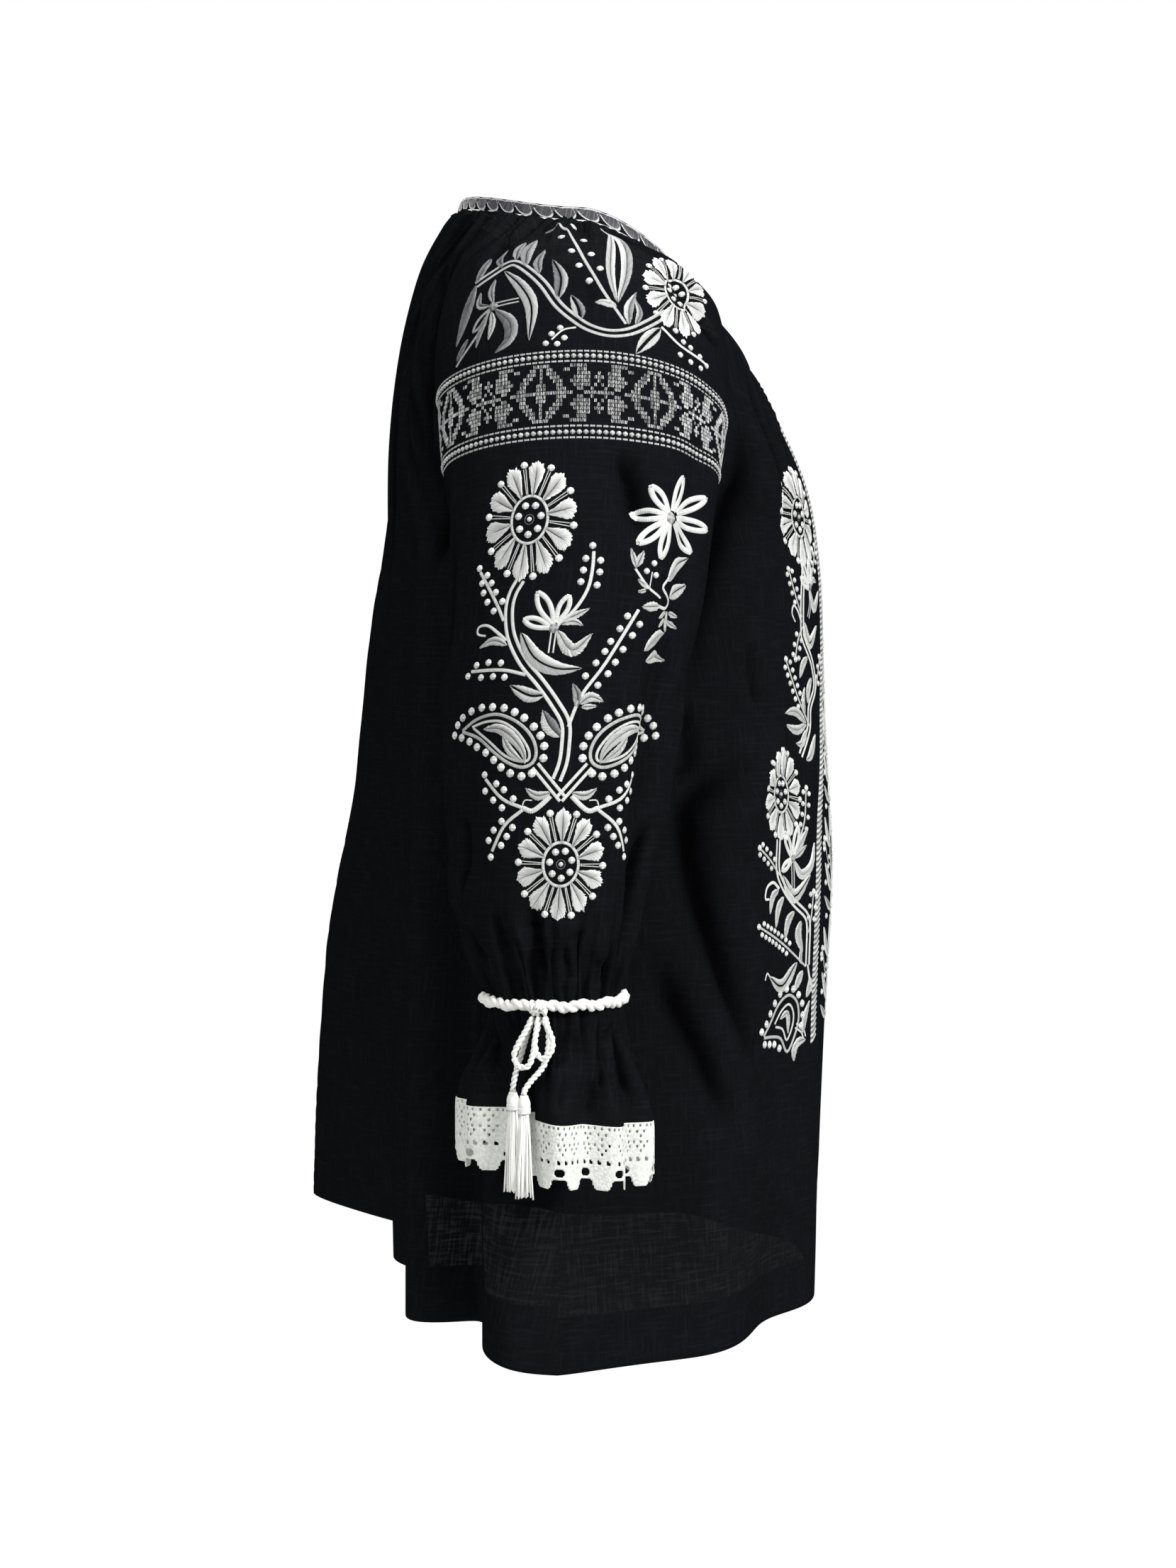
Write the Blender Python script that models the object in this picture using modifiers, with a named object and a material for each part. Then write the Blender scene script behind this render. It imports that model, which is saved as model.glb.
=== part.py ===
"""A black folk blouse with long raglan sleeves, filled out as if worn, with no wearer.

Metres, +Z up. The front faces -Y and the wearer's right is -X. The origin lies between
the shoulders, at the height of the neckline's side edge.
"""
import math
from collections import namedtuple

import bmesh
import bpy
from mathutils import Matrix, Vector

MM = 0.001
CLOTH = 1.2 * MM
BAND_WALL = 1.6 * MM
LACE_WALL = 1.2 * MM
SEAM_GAP = 0.3 * MM
UNDERARM_GAP = 2.6 * MM
WIDEST_GAP = 3.0 * MM

# Neckline: an oval seen from above, higher at the back than at the front
NECK_HALF_WIDTH = 0.135
NECK_FRONT_Y = -0.121
NECK_BACK_Y = 0.085
NECK_SIDE_Y = -0.008
NECK_FRONT_Z = -0.078
NECK_SIDE_Z = 0.0
NECK_BACK_Z = 0.025
BAND_HEIGHT = 0.010
BAND_FLARE = 0.004
FRONT_SEAM_DEG = 50
BACK_SEAM_DEG = 128
NECK_PULL = 0.3
NECK_COLUMNS = 64

# How many folds each gathered edge has
FRONT_PLEATS = 15
BACK_PLEATS = 18
SLEEVE_NECK_PLEATS = 9
CUFF_PLEATS = 18
NECK_PLEAT_DEPTH = 4.4 * MM
CUFF_PLEAT_DEPTH = 3.0 * MM

# Sleeve rings in metres from the neck down: 1 is the underarm and 2 is the cuff.
# Each ring is an oval about cx, cy; above the underarm it stays open towards the body.
Ring = namedtuple("Ring", "down cx cy rx ry open_deg z_front z_outer z_back")
SLEEVE = (
    Ring(0.00, 0.104, -0.0120, 0.035, 0.0740, 90, -0.0400, -0.0100, 0.0060),
    Ring(0.25, 0.128, -0.0135, 0.078, 0.0980, 87, -0.0850, -0.0400, -0.0480),
    Ring(0.50, 0.160, -0.0110, 0.090, 0.1070, 80, -0.1400, -0.0870, -0.1120),
    Ring(0.75, 0.208, -0.0105, 0.081, 0.1010, 58, -0.2020, -0.1500, -0.1850),
    Ring(1.00, 0.259, -0.0090, 0.064, 0.0920, 0, -0.2620, -0.2250, -0.2620),
    Ring(1.15, 0.273, -0.0050, 0.065, 0.0875, 0, -0.3150, -0.2850, -0.3150),
    Ring(1.32, 0.286, 0.0030, 0.064, 0.0800, 0, -0.3650, -0.3480, -0.3650),
    Ring(1.50, 0.296, 0.0080, 0.063, 0.0740, 0, -0.4150, -0.4080, -0.4150),
    Ring(1.70, 0.305, 0.0100, 0.061, 0.0680, 0, -0.4750, -0.4740, -0.4750),
    Ring(1.86, 0.313, 0.0110, 0.055, 0.0590, 0, -0.5220, -0.5220, -0.5220),
    Ring(1.95, 0.317, 0.0090, 0.047, 0.0480, 0, -0.5490, -0.5490, -0.5490),
    Ring(2.00, 0.320, 0.0080, 0.0435, 0.0440, 0, -0.5620, -0.5620, -0.5620),
)

# Centre lines of the front and back, and the side seam below the underarm.
# turn_deg says how far a half panel turns from the centre to its seam.
Body = namedtuple("Body", "down front_y front_z back_y back_z turn_deg side_x side_y side_z")
BODY = (
    Body(0.00, -0.125, -0.0880, 0.089, 0.0150, 52, 0.104, -0.086, -0.0400),
    Body(0.25, -0.145, -0.1180, 0.112, -0.0300, 62, 0.128, -0.110, -0.0850),
    Body(0.50, -0.166, -0.1530, 0.130, -0.0900, 72, 0.150, -0.115, -0.1400),
    Body(0.75, -0.188, -0.2050, 0.139, -0.1650, 82, 0.172, -0.080, -0.2020),
    Body(1.00, -0.199, -0.2700, 0.142, -0.2600, 90, 0.195, -0.009, -0.2620),
    Body(1.20, -0.203, -0.3800, 0.143, -0.3700, 90, 0.208, -0.004, -0.3800),
    Body(1.40, -0.209, -0.4950, 0.142, -0.4850, 90, 0.220, 0.000, -0.4950),
    Body(1.60, -0.204, -0.6050, 0.140, -0.5950, 90, 0.231, 0.002, -0.6050),
    Body(1.80, -0.199, -0.7150, 0.137, -0.7050, 90, 0.241, 0.004, -0.7150),
    Body(2.00, -0.195, -0.8260, 0.134, -0.7980, 90, 0.249, 0.005, -0.8380),
)
FOLD_GROWTH = 1.15

# Large folds of the body, by angle from the centre front over the wearer's right side
Fold = namedtuple("Fold", "angle width depth start")
BODY_FOLDS = (
    Fold(22, 9, 0.006, 0.9),
    Fold(40, 10, -0.012, 0.7),
    Fold(60, 11, 0.010, 0.9),
    Fold(101, 13, 0.028, 1.0),
    Fold(118, 6, -0.034, 0.8),
    Fold(133, 7, 0.034, 0.3),
    Fold(149, 8, -0.016, 0.5),
    Fold(164, 7, 0.008, 0.4),
    Fold(184, 8, -0.018, 0.6),
    Fold(209, 14, 0.112, 0.65),
    Fold(240, 9, -0.010, 0.9),
    Fold(262, 11, 0.012, 1.1),
    Fold(295, 11, 0.014, 0.9),
    Fold(318, 10, -0.010, 0.8),
    Fold(338, 9, 0.007, 0.9),
)

# Lengthwise folds of a sleeve, by angle from its inner line over the front
SLEEVE_FOLDS = (
    Fold(55, 12, -0.007, 0.9),
    Fold(92, 12, 0.005, 0.8),
    Fold(122, 10, -0.020, 0.5),
    Fold(144, 9, 0.010, 0.6),
    Fold(225, 14, -0.004, 1.0),
    Fold(262, 12, 0.004, 0.7),
    Fold(300, 14, -0.007, 0.9),
)

# Where the cloth walls have their rows of points
YOKE_LEVELS = (0.0, 0.08, 0.18, 0.3, 0.44, 0.6, 0.77, 0.91)
HEM_LEVELS = (1.0, 1.15, 1.32, 1.5, 1.68, 1.85, 2.0)
SLEEVE_LEVELS = (1.0, 1.12, 1.26, 1.42, 1.58, 1.72, 1.82, 1.9, 1.96, 2.0)

# Flounce below the drawstring, and the lace below that
RUFFLE_WAVES = 10
RUFFLE_HEIGHT = 0.081
RUFFLE_FLARE_X = 0.013
RUFFLE_FLARE_Y = 0.019
RUFFLE_WAVE_DEPTH = 0.0062
RUFFLE_BACK_LIFT = 0.012
SLIT_ANGLE = 200
SLIT_STEP = 9
SLIT_RETURN = 75
SLIT_DEPTH = 0.027
LACE_REPEATS = 20
LACE_STRIP = 0.031
LACE_GAP_FOOT = 0.0365
LACE_BAR_FOOT = 0.0387
LACE_DEPTH = 0.043
LACE_TOOTH_SHARE = 0.66

# Drawstring: a ring round the cuff, a bow with two loops and two tasselled ends
CORD = 3.9 * MM
CORD_CLEARANCE = 4.4 * MM
KNOT_ANGLE = 190
KNOT_SIZE = (9.2 * MM, 13.6 * MM, 11.0 * MM)
KNOT_ROUNDING = 2.0 * MM
TASSEL_LENGTH = 0.066
TASSEL_HEAD = 0.012
TASSEL_RADIUS = 0.0065

# Routes from the middle of the knot's underside, in millimetres: out from the cuff,
# towards the back, and up. A loop comes back to the knot; an end stops at its tassel.
Way = namedtuple("Way", "out back up")
LOOPS = {
    "loop_back": (
        Way(2.2, 4.5, -0.3), Way(2.3, 4.7, -2.8), Way(4.2, 7.5, -9.0), Way(6.8, 12.0, -17.5),
        Way(8.6, 14.5, -25.0), Way(9.5, 11.5, -31.5), Way(9.9, 5.0, -31.5), Way(9.6, 1.8, -24.0),
        Way(7.2, 0.8, -15.0), Way(4.0, 0.2, -7.5), Way(2.3, 0.0, -2.8), Way(2.2, 0.0, -0.3),
    ),
    "loop_front": (
        Way(2.2, -4.5, -0.3), Way(2.3, -4.6, -2.8), Way(4.0, -7.6, -8.0), Way(6.0, -10.8, -15.5),
        Way(7.6, -9.4, -23.0), Way(8.0, -4.2, -26.5), Way(5.4, 0.3, -22.5), Way(2.2, 1.9, -15.5),
        Way(-0.8, 0.8, -8.5), Way(-2.1, 0.0, -2.8), Way(-2.2, 0.0, -0.3),
    ),
}
ENDS = {
    "end_back": (
        Way(-2.2, 4.5, -0.3), Way(-2.2, 4.7, -2.8), Way(-2.8, 8.0, -12.0), Way(-2.6, 12.0, -26.0),
        Way(-0.6, 15.5, -39.0), Way(0.0, 16.9, -47.0), Way(0.0, 17.0, -50.0),
    ),
    "end_front": (
        Way(-2.2, -4.5, -0.3), Way(-2.2, -4.7, -2.8), Way(-1.8, -6.4, -10.0),
        Way(-0.6, -6.6, -20.0), Way(2.6, -4.2, -32.0), Way(9.4, 3.6, -42.0),
        Way(12.4, 6.9, -47.5), Way(12.5, 7.0, -50.0),
    ),
}
TASSEL_LEAN = {"end_back": 0.004, "end_front": 0.012}


def ease(value, low, high):
    """Soft step from 0 at low to 1 at high."""
    share = min(max((value - low) / (high - low), 0.0), 1.0)
    return share * share * (3 - 2 * share)


def hermite(start, stop, slope_in, slope_out, share):
    """Cubic from start to stop with the given slopes."""
    square, cube = share * share, share * share * share
    return (
        (2 * cube - 3 * square + 1) * start
        + (cube - 2 * square + share) * slope_in
        + (3 * square - 2 * cube) * stop
        + (cube - square) * slope_out
    )


def row_at(rows, down):
    """The table's row at any distance down, on a smooth curve through its rows."""
    last = len(rows) - 1
    step = max(i for i in range(last) if i == 0 or rows[i].down <= down)
    before, after = rows[step], rows[step + 1]
    span = after.down - before.down
    share = min(max((down - before.down) / span, 0.0), 1.0)
    mixed = []
    for column in range(len(before)):
        start, stop = before[column], after[column]
        slopes = []
        for i in (step, step + 1):
            low, high = rows[max(i - 1, 0)], rows[min(i + 1, last)]
            slopes.append((high[column] - low[column]) / (high.down - low.down) * span)
        mixed.append(hermite(start, stop, *slopes, share))
    return type(before)(*mixed)


def fold_sum(folds, angle, down):
    """How far all folds together push the cloth out at this angle."""
    total = 0.0
    for fold in folds:
        away = (angle - fold.angle + 180) % 360 - 180
        grow = max(down - fold.start, 0.0) / (2 - fold.start)
        total += fold.depth * grow ** FOLD_GROWTH * math.exp(-((away / fold.width) ** 2))
    return total


def pleat(share, count, depth):
    """Alternate ridges and troughs of a gathered edge, uneven from one to the next."""
    uneven = 0.72 + 0.28 * math.sin(5.3 * share * count / 2)
    return depth * uneven * math.cos(2 * math.pi * count * share)


def neck_point(angle, drop):
    """The neckline at an angle from the front, and how far down the band (0 to 1)."""
    y_end = NECK_BACK_Y if math.cos(angle) < 0 else NECK_FRONT_Y
    z_end = NECK_BACK_Z if math.cos(angle) < 0 else NECK_FRONT_Z
    reach = abs(math.cos(angle))
    x = -NECK_HALF_WIDTH * math.sin(angle)
    y = NECK_SIDE_Y + (y_end - NECK_SIDE_Y) * reach
    z = NECK_SIDE_Z + (z_end - NECK_SIDE_Z) * reach ** 1.7
    out = Vector((x, y + 0.02, 0)).normalized()
    return Vector((x, y, z - BAND_HEIGHT * drop)) + out * BAND_FLARE * drop


def drawn_to_neck(shape, down, angle):
    """Brings the top of a piece onto the lower edge of the neckband."""
    point = shape(down)
    if down >= NECK_PULL:
        return point
    shift = neck_point(math.radians(angle), 1.0) - shape(0.0)
    return point + shift * (1 - ease(down, 0, NECK_PULL))


def sleeve_point(share, down, side):
    """A sleeve with its top edge on the neckband."""
    angle = FRONT_SEAM_DEG + (BACK_SEAM_DEG - FRONT_SEAM_DEG) * share
    return drawn_to_neck(lambda d: sleeve_shape(share, d, side), down, -side * angle)


def body_point(share, down, back):
    """The front or back with its top edge on the neckband."""
    angle = 180 - (180 - BACK_SEAM_DEG) * share if back else FRONT_SEAM_DEG * share
    return drawn_to_neck(lambda d: body_shape(share, d, back), down, angle)


def sleeve_shape(share, down, side):
    """Share 0 is the front seam or inner line and 1 the back one; side is -1 on the right."""
    ring = row_at(SLEEVE, down)
    start = math.radians(max(ring.open_deg, 0.0)) if down < 1 else 0.0
    angle = start + (2 * math.pi - 2 * start) * share
    outer = (math.cos(start) - math.cos(angle)) / (math.cos(start) + 1)
    seam_z = ring.z_front if angle < math.pi else ring.z_back
    z = outer * ring.z_outer + (1 - outer) * seam_z
    inside = ease(down, 0.3, 0.9) if down < 1 else 1.0
    edge = math.sin(math.pi * share) if down < 1 else 1.0
    push = fold_sum(SLEEVE_FOLDS, math.degrees(angle), down) * inside * min(1.0, 1.6 * edge)
    push *= 1 - ease(down, 1.45, 1.85)
    neck = 1 - ease(down, 0.02, 0.42)
    neck *= ease(down, -0.06, 0.06)
    cuff = ease(down, 1.72, 1.97)
    push += pleat(share, SLEEVE_NECK_PLEATS, NECK_PLEAT_DEPTH) * neck * edge
    push += pleat(share, CUFF_PLEATS, CUFF_PLEAT_DEPTH) * cuff * (1 - 0.65 * ease(down, 1.95, 2.0))
    x = ring.cx - (ring.rx + push) * math.cos(angle)
    y = ring.cy - (ring.ry + push) * math.sin(angle)
    return Vector((side * x, y, z))


def seam_point(down, side, back):
    """A raglan seam above the underarm, and the side seam below it."""
    if down < 1:
        ring = row_at(SLEEVE, down)
        start = math.radians(max(ring.open_deg, 0.0))
        turn = -1 if back else 1
        x = ring.cx - ring.rx * math.cos(start)
        y = ring.cy - turn * ring.ry * math.sin(start)
        return x, y, ring.z_back if back else ring.z_front
    row = row_at(BODY, down)
    return row.side_x, row.side_y, row.side_z


def body_shape(share, down, back):
    """Share -1 is the wearer's left seam, 0 the centre and 1 the right seam."""
    row = row_at(BODY, down)
    x_seam, y_seam, z_seam = seam_point(down, share, back)
    turn = math.radians(row.turn_deg)
    angle = turn * abs(share)
    level = (math.cos(angle) - math.cos(turn)) / (1 - math.cos(turn))
    full = level ** 0.86 if level > 0 else 0.0
    y_centre = row.back_y if back else row.front_y
    z_centre = row.back_z if back else row.front_z
    x = -math.copysign(x_seam * math.sin(angle) / math.sin(turn), share)
    y = y_seam + (y_centre - y_seam) * full
    z = z_seam + (z_centre - z_seam) * level
    around = 180 - 90 * share if back else 90 * share
    push = fold_sum(BODY_FOLDS, around, down)
    edge = 1 - abs(share) ** 3 * (1 - ease(down, 0.9, 1.3))
    count = BACK_PLEATS if back else FRONT_PLEATS
    neck = 1 - ease(down, 0.05, 0.62)
    neck *= ease(down, -0.06, 0.06)
    push = push * edge + pleat((share + 1) / 2, count, NECK_PLEAT_DEPTH) * neck * edge
    away = Vector((x, y + 0.02, 0)).normalized()
    return Vector((x, y, z)) + away * push


def cuff_ring(share, fall, side):
    """A ring below the drawstring: fall is 0 at the cord, 1 at the lace and then metres."""
    cuff = SLEEVE[-1]
    angle = 2 * math.pi * share
    degrees = math.degrees(angle)
    flare = ease(fall, 0.0, 1.1)
    wave = RUFFLE_WAVE_DEPTH * ease(fall, 0.1, 1.0) * math.cos(RUFFLE_WAVES * angle + 0.6)
    small = pleat(share, CUFF_PLEATS, 0.35 * CUFF_PLEAT_DEPTH) * (1 - ease(fall, 0.05, 0.7))
    slit = SLIT_DEPTH * ease(fall, 0.0, 0.7)
    slit *= ease(degrees, SLIT_ANGLE - SLIT_STEP, SLIT_ANGLE)
    slit *= 1 - ease(degrees, SLIT_ANGLE, SLIT_ANGLE + SLIT_RETURN)
    push = wave + small - slit
    x = cuff.cx + 0.004 * flare - (cuff.rx + RUFFLE_FLARE_X * flare + push) * math.cos(angle)
    y = cuff.cy - (cuff.ry + RUFFLE_FLARE_Y * flare + push) * math.sin(angle)
    lift = RUFFLE_BACK_LIFT * (1 - math.sin(angle)) / 2 * flare
    return Vector((side * x, y, cuff.z_outer - RUFFLE_HEIGHT * fall + lift))


def towards(point, target, distance):
    """A point moved some way towards another one."""
    return point + (target - point).normalized() * distance


def sewn_gap(edge, inside, neighbour):
    """How far an edge is drawn in, so that two walls meeting at an angle stay clear."""
    corner = (inside - edge).angle(neighbour - edge)
    return min(SEAM_GAP / 2 + CLOTH / 2 / math.tan(max(corner, 0.2) / 2), WIDEST_GAP)


def drawn_in(edges, insides, neighbours=None):
    """A row of edge points drawn in from the pieces that they are sewn to."""
    row = []
    for i, (edge, inside) in enumerate(zip(edges, insides)):
        gap = sewn_gap(edge, inside, neighbours[i]) if neighbours else SEAM_GAP / 2
        row.append(towards(edge, inside, gap))
    return row


def collection_for(name):
    """A collection linked to the scene."""
    made = bpy.data.collections.new(name)
    bpy.context.scene.collection.children.link(made)
    return made


def principled(name, colour, roughness):
    """A plain cloth or thread material."""
    made = bpy.data.materials.new(name)
    made.use_nodes = True
    shader = made.node_tree.nodes["Principled BSDF"]
    shader.inputs["Base Color"].default_value = (*colour, 1)
    shader.inputs["Roughness"].default_value = roughness
    shader.inputs["Metallic"].default_value = 0.0
    made.diffuse_color = (*colour, 1)
    return made


def add_object(name, data, home, material):
    """Puts mesh or curve data into the blouse's collection."""
    made = bpy.data.objects.new(name, data)
    made.data.materials.append(material)
    home.objects.link(made)
    return made


def shade(mesh):
    """Smooth faces with sharp edges at the wall's rim."""
    mesh.shade_smooth()
    mesh.set_sharp_from_angle(angle=math.radians(50))


def wall(name, rows, home, material, thickness, closed_from=None, skip=None):
    """A cloth wall: rows of points joined by faces, then thickened.

    From the row closed_from on, the first and last columns are one and the same.
    """
    shape = bmesh.new()
    grid = []
    for level, row in enumerate(rows):
        line = [shape.verts.new(point) for point in row]
        if closed_from is not None and level >= closed_from:
            shape.verts.remove(line[-1])
            line[-1] = line[0]
        grid.append(line)
    for level in range(len(grid) - 1):
        upper, lower = grid[level], grid[level + 1]
        for i in range(len(upper) - 1):
            if skip is not None and skip(i, level):
                continue
            shape.faces.new((upper[i], upper[i + 1], lower[i + 1], lower[i]))
    loose = [point for point in shape.verts if not point.link_faces]
    bmesh.ops.delete(shape, geom=loose, context="VERTS")
    bmesh.ops.recalc_face_normals(shape, faces=shape.faces)
    mesh = bpy.data.meshes.new(name)
    shape.to_mesh(mesh)
    shape.free()
    shade(mesh)
    made = add_object(name, mesh, home, material)
    thick = made.modifiers.new("Cloth thickness", "SOLIDIFY")
    thick.thickness = thickness
    thick.offset = 0.0
    return made


def spread(start, stop, steps):
    """Evenly spaced values with both ends."""
    return [start + (stop - start) * i / steps for i in range(steps + 1)]


def panel_row(down, back):
    """Points across the front or the back, from the wearer's left seam to the right."""
    columns = 2 * (BACK_PLEATS if back else FRONT_PLEATS)
    return [body_point(share, down, back) for share in spread(-1, 1, columns)]


def sleeve_row(down, side):
    """Points round a sleeve, from its front seam or inner line."""
    return [sleeve_point(share, down, side) for share in spread(0, 1, 2 * CUFF_PLEATS)]


def band_row(row):
    """For points of the neckline's sewn edge, the points just above them."""
    return [point + Vector((0, 0, BAND_HEIGHT)) for point in row]


def make_panel(name, back, home, material):
    """The front or the back, from the neckband to the hem."""
    rows = []
    for down in YOKE_LEVELS + HEM_LEVELS:
        row = panel_row(down, back)
        for end, inside, side in ((0, 1, 1), (-1, -2, -1)):
            other = panel_row(down, not back)[inside]
            if down < 1:
                other = sleeve_row(down, side)[-2 if back else 1]
            row[end] = towards(row[end], row[inside], sewn_gap(row[end], row[inside], other))
        rows.append(row)
    rows[0] = drawn_in(rows[0], rows[1], band_row(rows[0]))
    wall(name, rows, home, material, CLOTH)


def make_sleeve(name, side, home, material):
    """A raglan sleeve: open towards the body down to the underarm, then a tube."""
    rows = []
    for down in YOKE_LEVELS + SLEEVE_LEVELS:
        row = sleeve_row(down, side)
        if down < 1:
            for end, inside, back in ((0, 1, False), (-1, -2, True)):
                other = panel_row(down, back)[-2 if side < 0 else 1]
                gap = sewn_gap(row[end], row[inside], other)
                row[end] = towards(row[end], row[inside], gap)
                row[end].x += side * UNDERARM_GAP * ease(down, 0.45, 0.9)
        elif down == 1:
            middle = Vector((side * row_at(SLEEVE, 1.0).cx, row[0].y, row[0].z))
            row[0] = towards(row[0], middle, UNDERARM_GAP)
        rows.append(row)
    rows[0] = drawn_in(rows[0], rows[1], band_row(rows[0]))
    below = [cuff_ring(share, 0.2, side) for share in spread(0, 1, 2 * CUFF_PLEATS)]
    rows[-1] = drawn_in(rows[-1], rows[-2], below)
    wall(name, rows, home, material, CLOTH, closed_from=len(YOKE_LEVELS))


def make_neckband(home, material):
    """The narrow band that all four gathered pieces are sewn to."""
    turns = spread(0, 2 * math.pi, NECK_COLUMNS)
    rows = [[neck_point(angle, drop) for angle in turns] for drop in (0.0, 1.0)]
    rows[-1] = drawn_in(rows[-1], rows[-2])
    wall("neckband", rows, home, material, BAND_WALL, closed_from=0)


def make_ruffle(name, side, home, material):
    """The flounce that flares out below the drawstring."""
    columns = 2 * LACE_REPEATS
    rows = []
    for fall in (0.0, 0.2, 0.5, 0.8, 1.0):
        rows.append([cuff_ring(share, fall, side) for share in spread(0, 1, columns)])
    above = [sleeve_point(share, 1.95, side) for share in spread(0, 1, columns)]
    rows[0] = drawn_in(rows[0], rows[1], above)
    wall(name, rows, home, material, CLOTH, closed_from=0)


def make_lace(name, side, half, home, material):
    """Half of the lace edging, with a gap cut through between each two teeth."""
    repeats = LACE_REPEATS // 2
    stops = []
    for i in range(repeats):
        stops += [float(i), i + LACE_TOOTH_SHARE]
    stops.append(float(repeats))
    falls = [0.0, LACE_STRIP, LACE_GAP_FOOT, LACE_BAR_FOOT, LACE_DEPTH]
    rows = []
    for drop in falls:
        fall = 1.0 + (drop + SEAM_GAP) / RUFFLE_HEIGHT
        row = [cuff_ring((half * repeats + stop) / LACE_REPEATS, fall, side) for stop in stops]
        before = cuff_ring((half * repeats - 0.3) / LACE_REPEATS % 1, fall, side)
        after = cuff_ring((half * repeats + repeats + 0.3) / LACE_REPEATS % 1, fall, side)
        row[0] = towards(row[0], row[1], sewn_gap(row[0], row[1], before))
        row[-1] = towards(row[-1], row[-2], sewn_gap(row[-1], row[-2], after))
        rows.append(row)

    def cut_away(column, level):
        return column % 2 == 1 and level in (1, 3)

    wall(name, rows, home, material, LACE_WALL, skip=cut_away)


def make_cord(name, points, home, material, ring=False):
    """A cord along points, with closed ends unless it is a ring."""
    data = bpy.data.curves.new(name, "CURVE")
    data.dimensions = "3D"
    data.bevel_depth = CORD / 2
    data.bevel_resolution = 2 if not ring else 1
    data.use_fill_caps = not ring
    line = data.splines.new("POLY")
    line.points.add(len(points) - 1)
    for target, point in zip(line.points, points):
        target.co = (*point, 1)
    line.use_cyclic_u = ring
    return add_object(name, data, home, material)


def cord_route(keys):
    """A smooth line through key points, with one more point between each two."""
    points = []
    for i in range(len(keys) - 1):
        before = keys[max(i - 1, 0)]
        after = keys[min(i + 2, len(keys) - 1)]
        slope_in = (keys[i + 1] - before) / (2 if i else 1)
        slope_out = (after - keys[i]) / (2 if i + 2 < len(keys) else 1)
        for share in (0.0, 0.5):
            points.append(hermite(keys[i], keys[i + 1], slope_in, slope_out, share))
    points.append(keys[-1])
    return points


def knot_centre(side):
    """Where the bow is tied, on the outer side of the cuff."""
    cuff = SLEEVE[-1]
    angle = math.radians(KNOT_ANGLE)
    reach = CORD_CLEARANCE + CORD / 2 + KNOT_SIZE[0] / 2 + SEAM_GAP
    x = cuff.cx - (cuff.rx + reach) * math.cos(angle)
    return Vector((side * x, cuff.cy - (cuff.ry + reach) * math.sin(angle), cuff.z_outer))


def knot_turn(side):
    """The turn that lays the bow along the cuff's round."""
    return Matrix.Rotation(side * math.radians(KNOT_ANGLE - 180), 3, "Z")


def make_drawstring(tag, side, home, material):
    """The ring of cord that draws the cuff in."""
    cuff = SLEEVE[-1]
    points = []
    steps = 40
    for i in range(steps):
        angle = 2 * math.pi * i / steps
        x = cuff.cx - (cuff.rx + CORD_CLEARANCE) * math.cos(angle)
        y = cuff.cy - (cuff.ry + CORD_CLEARANCE) * math.sin(angle)
        points.append(Vector((side * x, y, cuff.z_outer)))
    make_cord("drawstring_" + tag, points, home, material, ring=True)


def make_knot(tag, side, home, material):
    """The tied middle of the bow, a rounded block."""
    shape = bmesh.new()
    bmesh.ops.create_cube(shape, size=1)
    bmesh.ops.scale(shape, vec=KNOT_SIZE, verts=shape.verts)
    bmesh.ops.bevel(shape, geom=shape.edges, offset=KNOT_ROUNDING, segments=2, affect="EDGES")
    bmesh.ops.rotate(shape, cent=(0, 0, 0), matrix=knot_turn(side), verts=shape.verts)
    bmesh.ops.translate(shape, vec=knot_centre(side), verts=shape.verts)
    mesh = bpy.data.meshes.new("knot_" + tag)
    shape.to_mesh(mesh)
    shape.free()
    shade(mesh)
    add_object("knot_" + tag, mesh, home, material)


def placed(offsets, side):
    """Route offsets turned into places for the right or the left cuff."""
    foot = knot_centre(side) - Vector((0, 0, KNOT_SIZE[2] / 2))
    turn = knot_turn(side)
    return [foot + turn @ Vector((side * way.out, way.back, way.up)) * MM for way in offsets]


def make_tassel(name, top, lean, home, material):
    """A bound head with strands that part below it and lie against the flounce."""
    shape = bmesh.new()
    bmesh.ops.create_grid(shape, x_segments=3, y_segments=3, size=TASSEL_RADIUS * 0.62)
    bmesh.ops.reverse_faces(shape, faces=shape.faces)
    under = list(shape.faces)
    grown = bmesh.ops.extrude_face_region(shape, geom=under)
    lid = [item for item in grown["geom"] if isinstance(item, bmesh.types.BMVert)]
    bmesh.ops.translate(shape, vec=(0, 0, TASSEL_HEAD), verts=lid)
    bmesh.ops.scale(shape, vec=(0.55, 0.55, 1), verts=lid)
    bmesh.ops.recalc_face_normals(shape, faces=shape.faces)
    roots = [face for face in shape.faces if face.normal.z < -0.9]
    bmesh.ops.inset_individual(shape, faces=roots, thickness=TASSEL_RADIUS * 0.05)
    length = TASSEL_LENGTH - TASSEL_HEAD
    for number, root in enumerate(roots):
        face = root
        middle = root.calc_center_median()
        reach = 0.86 + 0.14 * math.sin(2.1 * number + 0.7)
        for share, step in ((1.25, 0.35), (1.35, 0.65)):
            moved = bmesh.ops.extrude_discrete_faces(shape, faces=[face])
            face = moved["faces"][0]
            here = face.calc_center_median()
            fall = length * reach * step
            wanted = Vector((middle.x * share, middle.y * share, here.z - fall))
            bmesh.ops.translate(shape, vec=wanted - here, verts=face.verts)
    for point in shape.verts:
        point.co.x += lean * max(-point.co.z, 0.0) / length
    bmesh.ops.translate(shape, vec=top - Vector((0, 0, TASSEL_HEAD)), verts=shape.verts)
    bmesh.ops.recalc_face_normals(shape, faces=shape.faces)
    mesh = bpy.data.meshes.new(name)
    shape.to_mesh(mesh)
    shape.free()
    add_object(name, mesh, home, material)


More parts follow.
